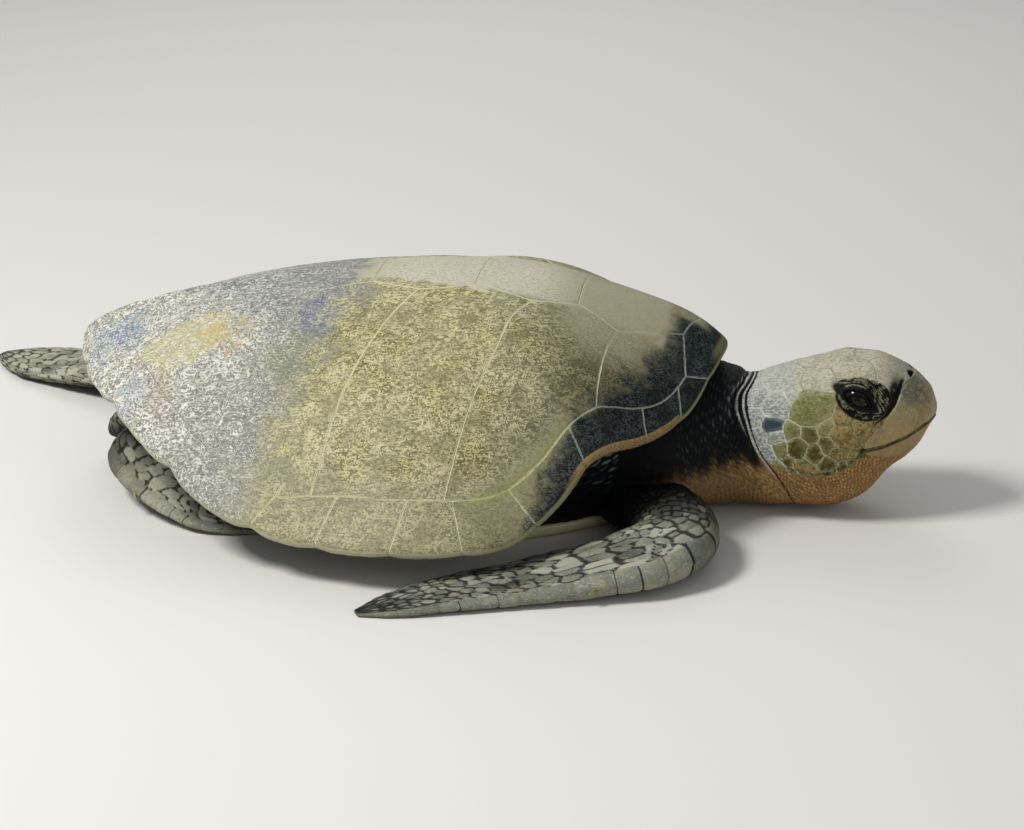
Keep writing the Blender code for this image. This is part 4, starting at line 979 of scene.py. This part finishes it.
def make_trunk_part():
    """The trunk: it follows the plates from below, then turns in from the rim down to the plastron."""
    turn = np.linspace(0, 2, 400, endpoint=False)
    share, side = np.minimum(turn, 2 - turn), np.where(turn <= 1, 1.0, -1.0)
    rings = [dome(plan(share, reach, side), SCUTE + (RIM_SCUTE - SCUTE) * ease(reach, 0.85, 1.0) + 0.0065)
             for reach in (0.02, 0.3, 0.55, 0.72, 0.82, 0.885, 0.93)]
    last = len(rings) - 1
    rim_ring = rings[last]
    ray = np.arctan2(rim_ring[:, 1], rim_ring[:, 0] - WIDEST_AT)
    inner = belly_radius(ray) - 0.004
    far = np.hypot(rim_ring[:, 0] - WIDEST_AT, rim_ring[:, 1])
    low = BELLY_THICKNESS + 0.0005
    for s in (*np.linspace(0.975, 0.0, 46), -0.6):
        rings.append(level_ring(inner + (far - inner) * s, ray,
                                low + (rim_ring[:, 2] - low - 0.004) * max(s, 0) ** 1.5))
    base = np.array(rings)
    normal = grid_normals(base, base - [WIDEST_AT, 0, 0.1])
    mirror = folded(base)
    under = np.zeros(base.shape[:2])
    under[last + 1:-1] = 1
    down = walked(base)
    down = down - down[last:last + 1]
    along = walked(rim_ring)[None] + 0 * down
    along = np.where(turn[None] <= 1, along, 2 * along[0, 200] - along)
    border, mark = cells(along / (15 * MM), down / (4.6 * MM) + 0.3 * noise(mirror, 0.03, 71), 72)
    border = border * 4.6 * MM
    raised = under * (0.9 * MM * (1 - bell(border, 0, MM)) + 1.2 * MM * noise(mirror, 0.035, 74))
    # pale streaks along the middles of the scale rows under the rim, as slate and grey: painted highlights
    streak = under * ease(border, 0.7 * MM, 1.7 * MM) * ease(down, 0.090, 0.020)
    marks = {**dict.fromkeys(FINISHES, 0.0), "border": border, "slate": streak * (0.5 + 0.5 * mark),
             "grey": streak * ease(mark, 0.30, 0.75), "pale": under * ease(mirror[..., 0], 0.10, 0.02) * 0.30}
    return closed_loft("trunk_part", base + normal * raised[..., None], marks)


def limb_frame(path, form, at):
    """Centre, forward, sideways and upward directions, half width and half thickness along a limb."""
    knots = [(i / (len(path) - 1),) + tuple(p) for i, p in enumerate(path)]
    centre = smooth(knots, at)
    ahead = unit(smooth(knots, at + 0.01) - smooth(knots, at - 0.01))
    across = unit(np.cross([0, 0, 1.0], ahead))
    half, thick = np.moveaxis(smooth(form, at), -1, 0)
    return centre, ahead, across, np.cross(ahead, across), half, thick


def make_limb_part(name, path, form, grid, scale_size, pale, long_scales=((0, 1), (1, 1)), leading=0):
    """A flipper or the tail: oval sections along a smooth path, covered with long scales.

    Scales are cells of scale_size = (along, around), longer where long_scales says so; pale gives, against
    the share of the length, how pale they are; the leading edge has broad plates in one row.
    """
    rows, count = grid
    at = spread(lambda t: 1 + 0.6 * ease(t, 0.9, 1.0), 0, 1, rows)
    centre, _, across, up, half, thick = limb_frame(path, form, at)
    turn = np.linspace(0, TURN, count, endpoint=False)
    wide, tall = bend(np.cos(turn), 0.95)[None, :, None], bend(np.sin(turn), 0.95)[None, :, None]
    half_size, half_thick = half[:, None, None], thick[:, None, None]
    across, above = across[:, None], up[:, None]
    base = centre[:, None] + half_size * wide * across + half_thick * tall * above
    normal = unit((wide / half_size) * across + (tall / half_thick) * above)
    flat = np.zeros((rows, count))
    run = walked(centre)
    longer = smooth(long_scales, at)[:, 0]
    steps = np.concatenate([[0], np.cumsum(np.diff(run) / (scale_size[0] * longer[1:]))])[:, None] + flat
    run = run[:, None] + flat
    girth = np.linalg.norm(np.diff(base, axis=1, append=base[:, :1]), axis=-1).sum(1)
    number = max(4, int(round(girth.max() / scale_size[1])))
    lap = turn / TURN * number + flat
    # both sides read the same pattern: the right limb's leading edge is the left one's
    hand = leading if leading else 1
    lap = lap if hand > 0 else (0.5 * number - lap) % number
    sway = 0.3 * noise(np.stack([steps, lap, flat], -1), 2.2, 81)
    border, mark = cells(steps + sway, lap + 0.5 * sway, 82, 0.8, number)
    border = border * np.minimum((girth / number)[:, None], scale_size[0])
    edge = ease(wide[..., 0] * hand, 0.72, 0.93) * abs(leading) + flat
    plates = run / 0.019
    edge_border = (0.5 - np.abs(plates - np.floor(plates) - 0.5)) * 0.019
    border = np.where(edge > 0.5, np.minimum(edge_border, np.abs(edge - 0.5) * 0.02 + 0.0006), border)
    mark = np.where(edge > 0.5, scatter(85, np.floor(plates)), mark)
    relief = 1.3 * MM * (1 - bell(border, 0, 1.2 * MM))
    local = np.stack([run, base[..., 2] * 2, lap * scale_size[1]], -1)
    relief = relief + 1.8 * MM * noise(local, 0.03, 83) * ease(at, 1.0, 0.8)[:, None]
    relief = relief + 0.25 * MM * noise(local, 0.005, 86)
    relief = relief * np.minimum(1, thick / 0.006)[:, None]
    v = unmarked(run.shape)
    v["border"] = border * (0.7 + 0.3 * ease(at, 0.36, 0.55))[:, None]     # wider cracks near the root
    level = smooth(pale, at)
    upper = 0.35 + 0.65 * ease(above[..., 2] * tall[..., 0], -0.5, 0.3)
    v["pale"] = np.clip(level * (0.60 + 0.45 * mark + 0.45 * noise(local, 0.045, 84)) * upper, 0, 1)
    v["pale"] = np.where(edge > 0.5, np.clip(level * (0.62 + 0.3 * mark) + 0.05, 0, 0.9), v["pale"])
    v["white"] = np.clip((mark - 0.55) * 2.2, 0, 1) * level * upper * (edge < 0.5)
    points = base + normal * relief[..., None]
    points[..., 2] = np.maximum(points[..., 2], 0.0)
    return closed_loft(name, points, v)


def gathered(collection, key, kind, wide=1):
    """One property of every item of a mesh's collection, as an array."""
    values = np.empty(len(collection) * wide, kind)
    collection.foreach_get(key, values)
    return values.reshape(-1, wide) if wide > 1 else values


def soften(mesh, rounds=14, reach=7):
    """Rounds the creases where two parts of the skin meet: repeated averaging near the joins only.

    The joins are the vertices between faces of different parts, told by their material number.
    """
    count = len(mesh.vertices)
    points = gathered(mesh.vertices, "co", np.float32, 3).astype(float)
    edges = gathered(mesh.edges, "vertices", np.int32, 2)
    corner = gathered(mesh.loops, "vertex_index", np.int32)
    owner = np.repeat(*(gathered(mesh.polygons, key, np.int32) for key in ("material_index", "loop_total")))
    lowest, highest = np.full(count, 99), np.full(count, -1)
    np.minimum.at(lowest, corner, owner)
    np.maximum.at(highest, corner, owner)
    strength = (lowest != highest).astype(float)
    degree = np.maximum(np.bincount(edges.ravel(), minlength=count), 1)

    def average(values):
        """The mean over each vertex's neighbours."""
        total = np.zeros_like(values)
        np.add.at(total, edges[:, 0], values[edges[:, 1]])
        np.add.at(total, edges[:, 1], values[edges[:, 0]])
        return total / degree.reshape((-1,) + (1,) * (values.ndim - 1))

    for _ in range(reach):
        strength = np.maximum(strength, average(strength) * 1.15)
    strength = np.clip(strength, 0, 1) * (points[:, 2] > 0.001)
    for _ in range(rounds):
        points += (average(points) - points) * strength[:, None] * 0.6
    mesh.vertices.foreach_set("co", points.astype(np.float32).ravel())
    mesh.update()


def make_skin():
    """One closed skin: the parts are joined into one surface and the joins smoothed away."""
    parts = [make_trunk_part(), make_neck_part(), make_head_part()] + make_lid_rims()
    for word, (kind, limb) in product(SIDES, LIMBS.items()):
        parts.append(make_limb_part(f"{kind}_part_{word}", limb["path"][word], limb["form"], limb["grid"],
                                    LIMB_SCALE, limb["pale"], limb["long"], limb["leading"][word]))
    parts.append(make_limb_part("tail_part", TAIL_PATH, TAIL_FORM, (34, 36), TAIL_SCALE,
                                ((0, 0.2), (1, 0.5))))
    for number, part in enumerate(parts):
        for _ in parts:
            part.data.materials.append(None)
        part.data.polygons.foreach_set("material_index", np.full(len(part.data.polygons), number, np.int32))
    body = parts[0]
    for part in parts[1:]:
        join = body.modifiers.new(part.name, "BOOLEAN")
        join.operation, join.solver, join.object = "UNION", "MANIFOLD", part
        join.material_mode = "INDEX"
    bpy.context.view_layer.update()
    whole = bpy.data.meshes.new_from_object(body.evaluated_get(bpy.context.evaluated_depsgraph_get()))
    whole.name = "skin"
    for part in parts:
        bpy.data.objects.remove(part, do_unlink=True)
    soften(whole)
    made = bpy.data.objects.new("skin", whole)
    bpy.context.scene.collection.objects.link(made)
    whole.shade_smooth()
    return made


def skin_material():
    """Dry reptile skin over keratin scales: dull, with pale or dark lines between the scales."""
    made, shader, add, paint = finish_of("Scaled reptile skin", IOR=1.45, Specular_IOR_Level=0.12)
    x, z, place = mirrored_place(add)
    mask = {key: add("Attribute", attribute_name=key, out=2) for key in FINISHES}
    border = mask["border"]
    soft, spots, specks, grain = waves(add, place, (55, 3, 0.2), (300, 2, 0.6), (520, 2, 0.3, (0.6, 1, 1)),
                                       (1100, 2, 0))
    # the skin's ground: its own dark colour, darkened further as painted shade under the shell
    dark = paint("#06070a", (soft, 0.42, 0.66, 1, "#0e1114"))
    # the warm skin turns near-black behind x = 0.30, where the neck goes under the shell: painted shade
    warm = paint("#a58250", (spots, 0.48, 0.62, 0.6, "#bb9a6a"), (soft, 0.46, 0.62, 0.6, "#8d6f45"),
                 (z, 0.036, 0.010, 0.75, "#8b604c"), (x, 0.405, 0.330, 0.8, "#6f5f3e"),
                 (x, 0.300, 0.270, 0.9, "#15130e"))
    # pale scales are lighter behind x = -0.15, on the hind flippers and tail: painted light
    pale = paint("#7f8274", (soft, 0.44, 0.60, 0.8, "#938f78"), (x, -0.15, -0.25, 0.9, "#aca791"),
                 (spots, 0.52, 0.64, 0.5, "#656d60"), (specks, 0.55, 0.68, 0.6, "#b1af9c"))
    scales = {
        "crown": paint("#aaa48b", (soft, 0.44, 0.60, 0.7, "#918d78"), (specks, 0.50, 0.62, 0.75, "#bab5a5"),
                       (specks, 0.46, 0.34, 0.6, "#7c7b6b"), (x, 0.47, 0.50, 0.6, "#7d7c70")),
        # grey and slate are head scales' own colours, and also the painted highlights under the rim (both)
        # and on the neck (slate)
        "grey": paint("#84877e", (z, 0.114, 0.136, 0.8, "#a8a79b"), (border, 0.002, 0.007, 0.5, "#70746b"),
                      (z, 0.118, 0.142, 0.6, "#a8a79b"), (specks, 0.46, 0.60, 0.6, "#bcbcb1"),
                      (specks, 0.46, 0.34, 0.4, "#6a6e66")),
        "slate": paint("#566064", (border, 0.001, 0.005, 1, "#343b3e")),
        "olive": paint("#8a8860", (border, 0.001, 0.007, 0.9, "#716e42"), (spots, 0.48, 0.62, 0.6, "#50501f"),
                       (soft, 0.48, 0.60, 0.4, "#5f5d33"), (specks, 0.54, 0.66, 0.4, "#a5a37c")),
        "cheek": paint("#807a55", (border, 0.0008, 0.0045, 1, "#544b26"), (spots, 0.46, 0.60, 0.8, "#3d3519"),
                       (soft, 0.52, 0.66, 0.5, "#6b6840")),
        "tan": paint("#8c7a4d", (soft, 0.42, 0.60, 0.7, "#6f5d37"), (spots, 0.49, 0.61, 0.8, "#50432a"),
                     (specks, 0.54, 0.66, 0.5, "#a2956a")),
    }
    colour = paint(dark, (mask["pale"], pale), (mask["white"], 0, 1, 0.8, "#aaa998"), (mask["warm"], warm),
                   *((mask[key], scale) for key, scale in scales.items()))
    furrow = paint("#06080a", (mask["warm"], "#6a4d2e"), (mask["crown"], "#7e7c6d"), (mask["tan"], "#63553a"),
                   (mask["cheek"], "#6d6946"), (mask["olive"], "#6d6946"),
                   (mask["lined"], paint("#a9a780", (x, 0.408, 0.385, 1, "#c6c8c0"))))
    # crease paints near-black painted shade into the skin's grooves, hollows and openings
    colour = paint(colour, (border, 0.0011, 0.0004, 0.85, furrow), (mask["lid"], "#080908"),
                   (mask["fleck"], 0, 1, 0.9, "#77735a"), (mask["crease"], "#050505"))
    high = add("Math MULTIPLY_ADD", specks, 0.9, grain)
    fill(shader, {"Base Color": colour, "Roughness": add("MapRange", mask["lid"], 0, 1, 0.62, 0.42),
                  "Normal": add("Bump", Strength=0.5, Distance=0.0005, Height=high)})
    return made


# Beak, eyes, claws and plastron ----------------------------------------------------------------------
def on_head(origin, directions):
    """Where rays from inside the head leave its oval surface, by halving the span 40 times."""
    low, high = np.zeros(directions.shape[:-1]), np.full(directions.shape[:-1], 0.12)
    for _ in range(40):
        middle = (low + high) / 2
        x, y, z = np.moveaxis(origin + directions * middle[..., None], -1, 0)
        inside = (x < HEAD_TO) & (np.abs(y) < side_of_head(x.ravel(), z.ravel()).reshape(middle.shape))
        low, high = np.where(inside, middle, low), np.where(inside, high, middle)
    return origin + directions * ((low + high) / 2)[..., None]


def beak_sheath(name, edge_line, border_line, clear, lift, columns=120, rows=34):
    """A horn sheath over the head: rays fan out from inside the snout, between the mouth's edge and the
    sheath's border, and the surface is lifted a little, with a rounded border and an even wall.
    """
    origin = np.array([0.470, 0.0, 0.104])
    fans = []
    for line, dz in ((edge_line, clear), (border_line, 0.0)):
        xs, zs = np.array(line).T
        px = np.interp(np.linspace(0, 1, 200), np.linspace(0, 1, len(xs)), xs)
        pz = np.interp(px, xs, zs + dz)
        keep = (side_of_head(px, pz) > 0.0004) & (px < HEAD_TO - 0.5 * MM)
        flank = np.stack([px, side_of_head(px, pz), pz], 1)[keep]
        fans.append(unit(resample(np.concatenate([flank * [1, -1, 1], flank[::-1]]), columns) - origin))
    t = spread(lambda q: 1 + 2 * bell(np.minimum(q, 1 - q), 0, 0.06), 0, 1, rows)[:, None, None]
    directions = unit(fans[0][None] * (1 - t) + fans[1][None] * t)
    surface = on_head(origin, directions)
    normal = grid_normals(surface, directions, closed=False)
    run, across = walked(surface), walked(surface, 1)
    inset = np.min([run, run[-1:] - run, across, across[:, -1:] - across], axis=0)
    edge = round_edge(inset, 1.6 * MM)
    outer = surface + normal * (lift - 1.6 * MM * edge + 0.15 * MM * noise(surface, 0.008, 91))[..., None]
    return thin_shell(name, outer, surface - normal * (2.2 * MM), {"edge": np.tile(run, (2, 1))})


def horn_material(name, base, *layers):
    """Horn of the beak or claws: smooth keratin, grown in fine lengthwise streaks, satin."""
    made, shader, add, paint = finish_of(name, IOR=1.5, Roughness=0.42)
    _, z, place = mirrored_place(add)
    soft, spots, streak = waves(add, place, (80, 3, 0.4), (260, 2, 0.6), (480, 2, 0.2, (0.35, 1, 1)))
    fields = {"soft": soft, "spots": spots, "streak": streak, "z": z,
              "nose": add("VectorMath DISTANCE", place, NOSE_TIP, out=1),
              "edge": add("Attribute", attribute_name="edge", out=2)}
    high = add("Math ADD", spots, streak)
    fill(shader, {"Base Color": paint(base, *((fields[key], *steps) for key, *steps in layers)),
                  "Normal": add("Bump", Strength=0.35, Distance=0.0004, Height=high)})
    return made


def make_eye(word, side):
    """An eyeball: a sphere round the gaze, its cornea a slightly higher cap; "gaze" is the polar angle."""
    out, along, up = eye_frame()
    polar = spread(lambda t: 1 + 1.2 * ease(t, 1.2, 0.4), 0.004, np.pi - 0.01, 60)
    a, b = np.meshgrid(polar, np.linspace(0, TURN, 72, endpoint=False), indexing="ij")
    radius = EYE_RADIUS - 0.3 * MM + 0.7 * MM * bell(a, 0, 0.42, 4)
    rings = EYE_AT + radius[..., None] * (np.cos(a)[..., None] * out + np.sin(a)[..., None]
                                          * (np.cos(b)[..., None] * along + np.sin(b)[..., None] * up))
    return closed_loft("eyeball_" + word, rings * np.array([1, side, 1]), {"gaze": a})


def eye_material():
    """Wet eye: a clear smooth surface over a dark brown iris and a wide black pupil."""
    made, shader, add, paint = finish_of("Wet dark eye", IOR=1.38, Roughness=0.06, Specular_IOR_Level=0.3,
                                         Coat_Weight=0.12, Coat_Roughness=0.03)
    gaze = add("Attribute", attribute_name="gaze", out=2)
    fibres = add("TexNoise", add("TexCoord", out=3), Scale=500, Detail=2)
    iris = paint("#120d08", (fibres, 0.4, 0.6, 1, "#231b12"))
    colour = paint("#030303", (gaze, 0.28, 0.32, 1, iris), (gaze, 0.52, 0.58, 1, "#050505"),
                   (gaze, 0.75, 1.0, 1, "#2c2720"))
    fill(shader, {"Base Color": colour})
    return made


def make_claw(kind, word):
    """A curved cone out of the leading edge, its point turned towards the limb's tip."""
    limb = LIMBS[kind]
    centre, ahead, across, _, half, _ = limb_frame(limb["path"][word], limb["form"], np.array([CLAW_AT]))
    out = limb["leading"][word] * across[0]
    root = centre[0] + out * (half[0] - 0.005)
    s = spread(lambda t: 1 + ease(t, 0.7, 1.0), 0, 1, 26)
    radius = smooth(((0.0, 0.0034), (0.4, 0.0032), (0.75, 0.0020), (0.93, 0.0011), (1.0, 0.0003)), s)
    at = root + CLAW_LENGTH * (out * (s - 0.35 * s * s)[:, None] + ahead[0] * (0.5 * s * s)[:, None])
    phi = np.linspace(0, TURN, 20, endpoint=False)[None, :, None]
    rings = at[:, None] + radius[:, None] * (np.cos(phi) * ahead[0] + np.sin(phi) * np.array([0, 0, 1.0]))
    return closed_loft(f"{kind}_claw_{word}", rings)


def make_belly():
    """The plastron: flat underneath, its edge half-round, its scutes parted by engraved seams."""
    turn = np.linspace(0, TURN, 300, endpoint=False)
    radius = belly_radius(turn)
    reach = spread(lambda t: 1 + 2 * ease(t, 0.8, 1.0), 0.01, 1.0, 90)
    under = np.array([level_ring(radius * r, turn, 0.010 * round_edge(1 - r, 0.07)) for r in reach])
    x, y = under[..., 0], np.abs(under[..., 1])
    wing = y > 0.137                                     # the bridges to the carapace
    far = 0.1                                            # no seam within reach
    wave = 0.012 * np.cos(y * 40)
    seams = [y] + [np.where(y < 0.135, np.abs(x - at - 0.25 * y * np.sign(at) + wave), far)
                   for at in (0.215, 0.155, 0.075, -0.030, -0.120)]
    seams += [np.where((x > -0.12) & (x < 0.16), np.abs(y - 0.135 - 0.02 * np.sin((x - 0.02) * 12)), far)]
    seams += [np.where(wing, np.abs(x - at), far) for at in (0.12, 0.045, -0.03, -0.10)]
    pores = [np.where(wing, np.hypot(x - at, y - 0.160), far) for at in (0.06, 0.00, -0.06)]
    # seams and pores fade out towards the edge
    seam, pore = (np.min(lines, axis=0) + 0.02 * ease(reach, 0.90, 0.93)[:, None] for lines in (seams, pores))
    under[..., 2] += 0.8 * MM * bell(seam, 0, 1.1 * MM) + 1.5 * MM * bell(pore, 0, 1.6 * MM)
    upper = [under[-1] + np.array([0, 0, 0.003])] + [level_ring((radius - 0.003) * r, turn, BELLY_THICKNESS)
                                                     for r in (0.995, 0.96, 0.5, 0.02)]
    seam = np.concatenate([np.minimum(seam, pore), np.full((len(upper), len(turn)), far)])
    return closed_loft("belly_plate", np.concatenate([under, np.array(upper)]), {"seam": seam})


def belly_material():
    """Keratin of the plastron: worn smooth on sand, cream to greenish yellow, darker in the seams."""
    made, shader, add, paint = finish_of("Worn keratin plastron", IOR=1.5, Roughness=0.45)
    *_, place = mirrored_place(add)
    seam = add("Attribute", attribute_name="seam", out=2)
    soft, scratch = waves(add, place, (16, 5, 0), (420, 2, 0, (0.12, 1, 1)))
    colour = paint("#cfc79a", (soft, 0.42, 0.62, 1, "#bdb68a"), (soft, 0.60, 0.75, 1, "#9aa080"),
                   (scratch, 0.55, 0.68, 0.5, "#dfd9ba"), (seam, 0.0018, 0.0006, 1, "#5c5538"))
    fill(shader, {"Base Color": colour, "Normal": add("Bump", Strength=0.3, Distance=0.0004, Height=scratch)})
    return made


# Settings --------------------------------------------------------------------------------------------
class TurtleShellSettings(bpy.types.PropertyGroup):
    """Sizes and colour of the horny plates."""
    grid: bpy.props.FloatProperty(name="Grid", description="Spacing of the plates' surface points",
                                  default=0.0019, unit="LENGTH", subtype="DISTANCE")
    seam_width: bpy.props.FloatProperty(name="Seam width", description="Width of the seams between plates",
                                        default=0.0020, unit="LENGTH", subtype="DISTANCE")
    seam_depth: bpy.props.FloatProperty(name="Seam depth", description="Depth of the seams between plates",
                                        default=0.00022, unit="LENGTH", subtype="DISTANCE")
    wander: bpy.props.FloatProperty(name="Seam wander", description="How far seams stray from a clean curve",
                                    default=0.0022, unit="LENGTH", subtype="DISTANCE")
    notch: bpy.props.FloatProperty(name="Rim notch", description="Share of the reach that a rim notch takes",
                                   default=0.009, subtype="FACTOR")
    olive_hex: bpy.props.StringProperty(name="Olive", description="Ground colour of the flanks, sRGB hex",
                                        default="#7f7953")


class TurtleStageSettings(bpy.types.PropertyGroup):
    """Floor, light and camera."""
    floor_colour: bpy.props.FloatVectorProperty(name="Floor", description="Colour of the studio floor",
                                                default=linear("#d9d6cf")[:3], subtype="COLOR")
    key_power: bpy.props.FloatProperty(name="Key light", description="Power of the main light", default=78.0,
                                       unit="POWER")
    fill_power: bpy.props.FloatProperty(name="Fill light", description="Power of the fill light",
                                        default=16.0, unit="POWER")
    lens: bpy.props.FloatProperty(name="Lens", description="Focal length of the camera", default=105.3,
                                  unit="CAMERA")
    distance: bpy.props.FloatProperty(name="Distance", description="From the camera to its target",
                                      default=3.0, unit="LENGTH", subtype="DISTANCE")
    azimuth: bpy.props.FloatProperty(name="Azimuth", description="Camera's turn towards the head",
                                     default=np.radians(10.0), subtype="ANGLE")
    elevation: bpy.props.FloatProperty(name="Elevation", description="Camera's height above the horizon",
                                       default=np.radians(20.0), subtype="ANGLE")


# Operators -------------------------------------------------------------------------------------------
def aimed(name, data, place, target):
    """A camera or a light at a place, looking at a target."""
    made = bpy.data.objects.new(name, data)
    made.location = place
    made.rotation_euler = (target - place).to_track_quat("-Z", "Y").to_euler()
    bpy.context.scene.collection.objects.link(made)
    return made


class TURTLE_OT_stage(bpy.types.Operator):
    """Makes the floor, the lights and the camera"""
    bl_idname = "turtle.stage"
    bl_label = "Stage"

    def execute(self, context):
        stage, scene = context.scene.turtle_stage, context.scene
        a, e = stage.azimuth, stage.elevation
        back = Vector((np.sin(a) * np.cos(e), -np.cos(a) * np.cos(e), np.sin(e)))
        lens = bpy.data.cameras.new("camera")
        lens.lens, lens.sensor_width = stage.lens, 36.0
        scene.camera = aimed("camera", lens, LOOK_AT + back * stage.distance, LOOK_AT)
        corners = [(-6, -6, 0), (6, -6, 0), (6, 6, 0), (-6, 6, 0)]
        floor = piece("studio_floor", corners, np.array([[0, 1, 2, 3]]))
        paper, *_ = finish_of("Matt studio paper", Base_Color=(*stage.floor_colour, 1.0), Roughness=0.9)
        floor.data.materials.append(paper)
        # key from high on the left, a broad fill from the right, a soft light from behind
        for name, place, size, watts in (("key", (-1.4, -1.15, 2.4), 0.8, stage.key_power),
                                         ("fill", (2.4, -2.2, 0.9), 2.2, stage.fill_power),
                                         ("back", (-0.4, 2.4, 2.0), 1.6, stage.fill_power * 1.2)):
            light = bpy.data.lights.new(name, "AREA")
            light.energy, light.size = watts, size
            aimed(name, light, Vector(place), LIGHT_AT)
        world = bpy.data.worlds.new("studio")
        world.use_nodes = True
        fill(world.node_tree.nodes["Background"], {"Color": linear("#dfe3e8"), "Strength": 0.42})
        scene.world = world
        scene.view_settings.view_transform = "Standard"
        return {"FINISHED"}


class TURTLE_OT_scutes(bpy.types.Operator):
    """Makes the horny plates of the carapace, each in place of its solid"""
    bl_idname = "turtle.scutes"
    bl_label = "Scutes"

    def execute(self, context):
        shell = context.scene.turtle_shell
        material = scute_material(shell)
        for name, low, high, left, right, on_rim in scute_borders():
            made = scute("scute_" + name, low, high, left, right, shell, on_rim)
            dress(made, material, "marginal" if name.startswith("marginal") else "carapace", name)
        return {"FINISHED"}


class TURTLE_OT_belly(bpy.types.Operator):
    """Makes the plastron in place of its solid"""
    bl_idname = "turtle.belly"
    bl_label = "Plastron"

    def execute(self, context):
        dress(make_belly(), belly_material(), "plastron", "plastron")
        return {"FINISHED"}


class TURTLE_OT_skin(bpy.types.Operator):
    """Makes one skin in place of the solids of flesh"""
    bl_idname = "turtle.skin"
    bl_label = "Skin"

    def execute(self, context):
        dress(make_skin(), skin_material(), "skin_dark", "trunk", "neck", "head", "tail",
              *(f"{kind}_flipper_{word}" for kind, word in product(LIMBS, SIDES)))
        return {"FINISHED"}


class TURTLE_OT_beak(bpy.types.Operator):
    """Makes the two horn sheaths of the beak"""
    bl_idname = "turtle.beak"
    bl_label = "Beak"

    def execute(self, context):
        mouth = tuple(p for p in MOUTH if p[0] >= UPPER_BEAK[0][0])
        upper = horn_material(
            "Upper beak keratin", "#8f794b", ("z", 0.104, 0.126, 0.8, "#746b48"),
            ("z", 0.136, 0.150, 0.7, "#8b8672"), ("soft", 0.50, 0.64, 0.5, "#5f5a3e"),
            ("nose", 0.024, 0.011, 0.8, "#3f463f"),
            ("spots", 0.52, 0.64, 0.5, "#9b8f66"), ("streak", 0.54, 0.66, 0.4, "#8b7c50"),
            # dark at the mouth edge: painted shade of the mouth slit
            ("edge", 0.0015, 0.0004, 0.7, "#453a1f"))
        lower = horn_material(
            "Lower beak keratin", "#8a7042", ("z", 0.084, 0.068, 0.8, "#7a6038"),
            ("soft", 0.48, 0.64, 0.5, "#9f8454"),
            ("streak", 0.54, 0.68, 0.4, "#6b5431"), ("spots", 0.54, 0.66, 0.4, "#5f4a2a"),
            # dark at the mouth edge: painted shade of the mouth slit
            ("edge", 0.0022, 0.0008, 0.85, "#2b2412"))
        dress(beak_sheath("upper_beak", mouth, UPPER_BEAK, 0.0002, 0.0006), upper, "horn", "beak_upper")
        dress(beak_sheath("lower_beak", mouth, LOWER_BEAK, -0.0022, 0.0004), lower, "horn", "beak_lower")
        return {"FINISHED"}


class TURTLE_OT_eyes(bpy.types.Operator):
    """Makes the two eyeballs"""
    bl_idname = "turtle.eyes"
    bl_label = "Eyes"

    def execute(self, context):
        material = eye_material()
        for word, side in SIDES.items():
            dress(make_eye(word, side), material, "eye", "eye_" + word)
        return {"FINISHED"}


class TURTLE_OT_claws(bpy.types.Operator):
    """Makes one claw on each flipper"""
    bl_idname = "turtle.claws"
    bl_label = "Claws"

    def execute(self, context):
        material = horn_material("Claw keratin", "#8d8056", ("soft", 0.45, 0.62, 0.7, "#5e563a"),
                                 ("streak", 0.5, 0.7, 0.5, "#b0a57c"))
        for kind, word in product(LIMBS, SIDES):
            dress(make_claw(kind, word), material, "horn", f"claw_{kind}_{word}")
        return {"FINISHED"}


STEPS = (TURTLE_OT_stage, TURTLE_OT_scutes, TURTLE_OT_belly, TURTLE_OT_skin, TURTLE_OT_beak, TURTLE_OT_eyes,
         TURTLE_OT_claws)


class TURTLE_PT_panel(bpy.types.Panel):
    """Lists the turtle's settings and steps"""
    bl_idname = "TURTLE_PT_panel"
    bl_label = "Sea Turtle"
    bl_space_type = "VIEW_3D"
    bl_region_type = "UI"
    bl_category = "Sea Turtle"

    def draw(self, context):
        for settings in (context.scene.turtle_shell, context.scene.turtle_stage):
            for key in settings.bl_rna.properties.keys():
                if key not in ("rna_type", "name"):
                    self.layout.prop(settings, key)
        for step in STEPS:
            self.layout.operator(step.bl_idname)


CLASSES = (TurtleShellSettings, TurtleStageSettings) + STEPS + (TURTLE_PT_panel,)


def register():
    """Registers the classes and hangs the settings on the scene."""
    for cls in CLASSES:
        bpy.utils.register_class(cls)
    bpy.types.Scene.turtle_shell = bpy.props.PointerProperty(type=TurtleShellSettings)
    bpy.types.Scene.turtle_stage = bpy.props.PointerProperty(type=TurtleStageSettings)


def unregister():
    """Takes it all away again."""
    del bpy.types.Scene.turtle_stage, bpy.types.Scene.turtle_shell
    for cls in reversed(CLASSES):
        bpy.utils.unregister_class(cls)


def main():
    """Makes every piece in order."""
    register()
    bpy.ops.turtle.stage()
    bpy.ops.turtle.scutes()
    bpy.ops.turtle.belly()
    bpy.ops.turtle.skin()
    bpy.ops.turtle.beak()
    bpy.ops.turtle.eyes()
    bpy.ops.turtle.claws()


if __name__ == "__main__":
    main()
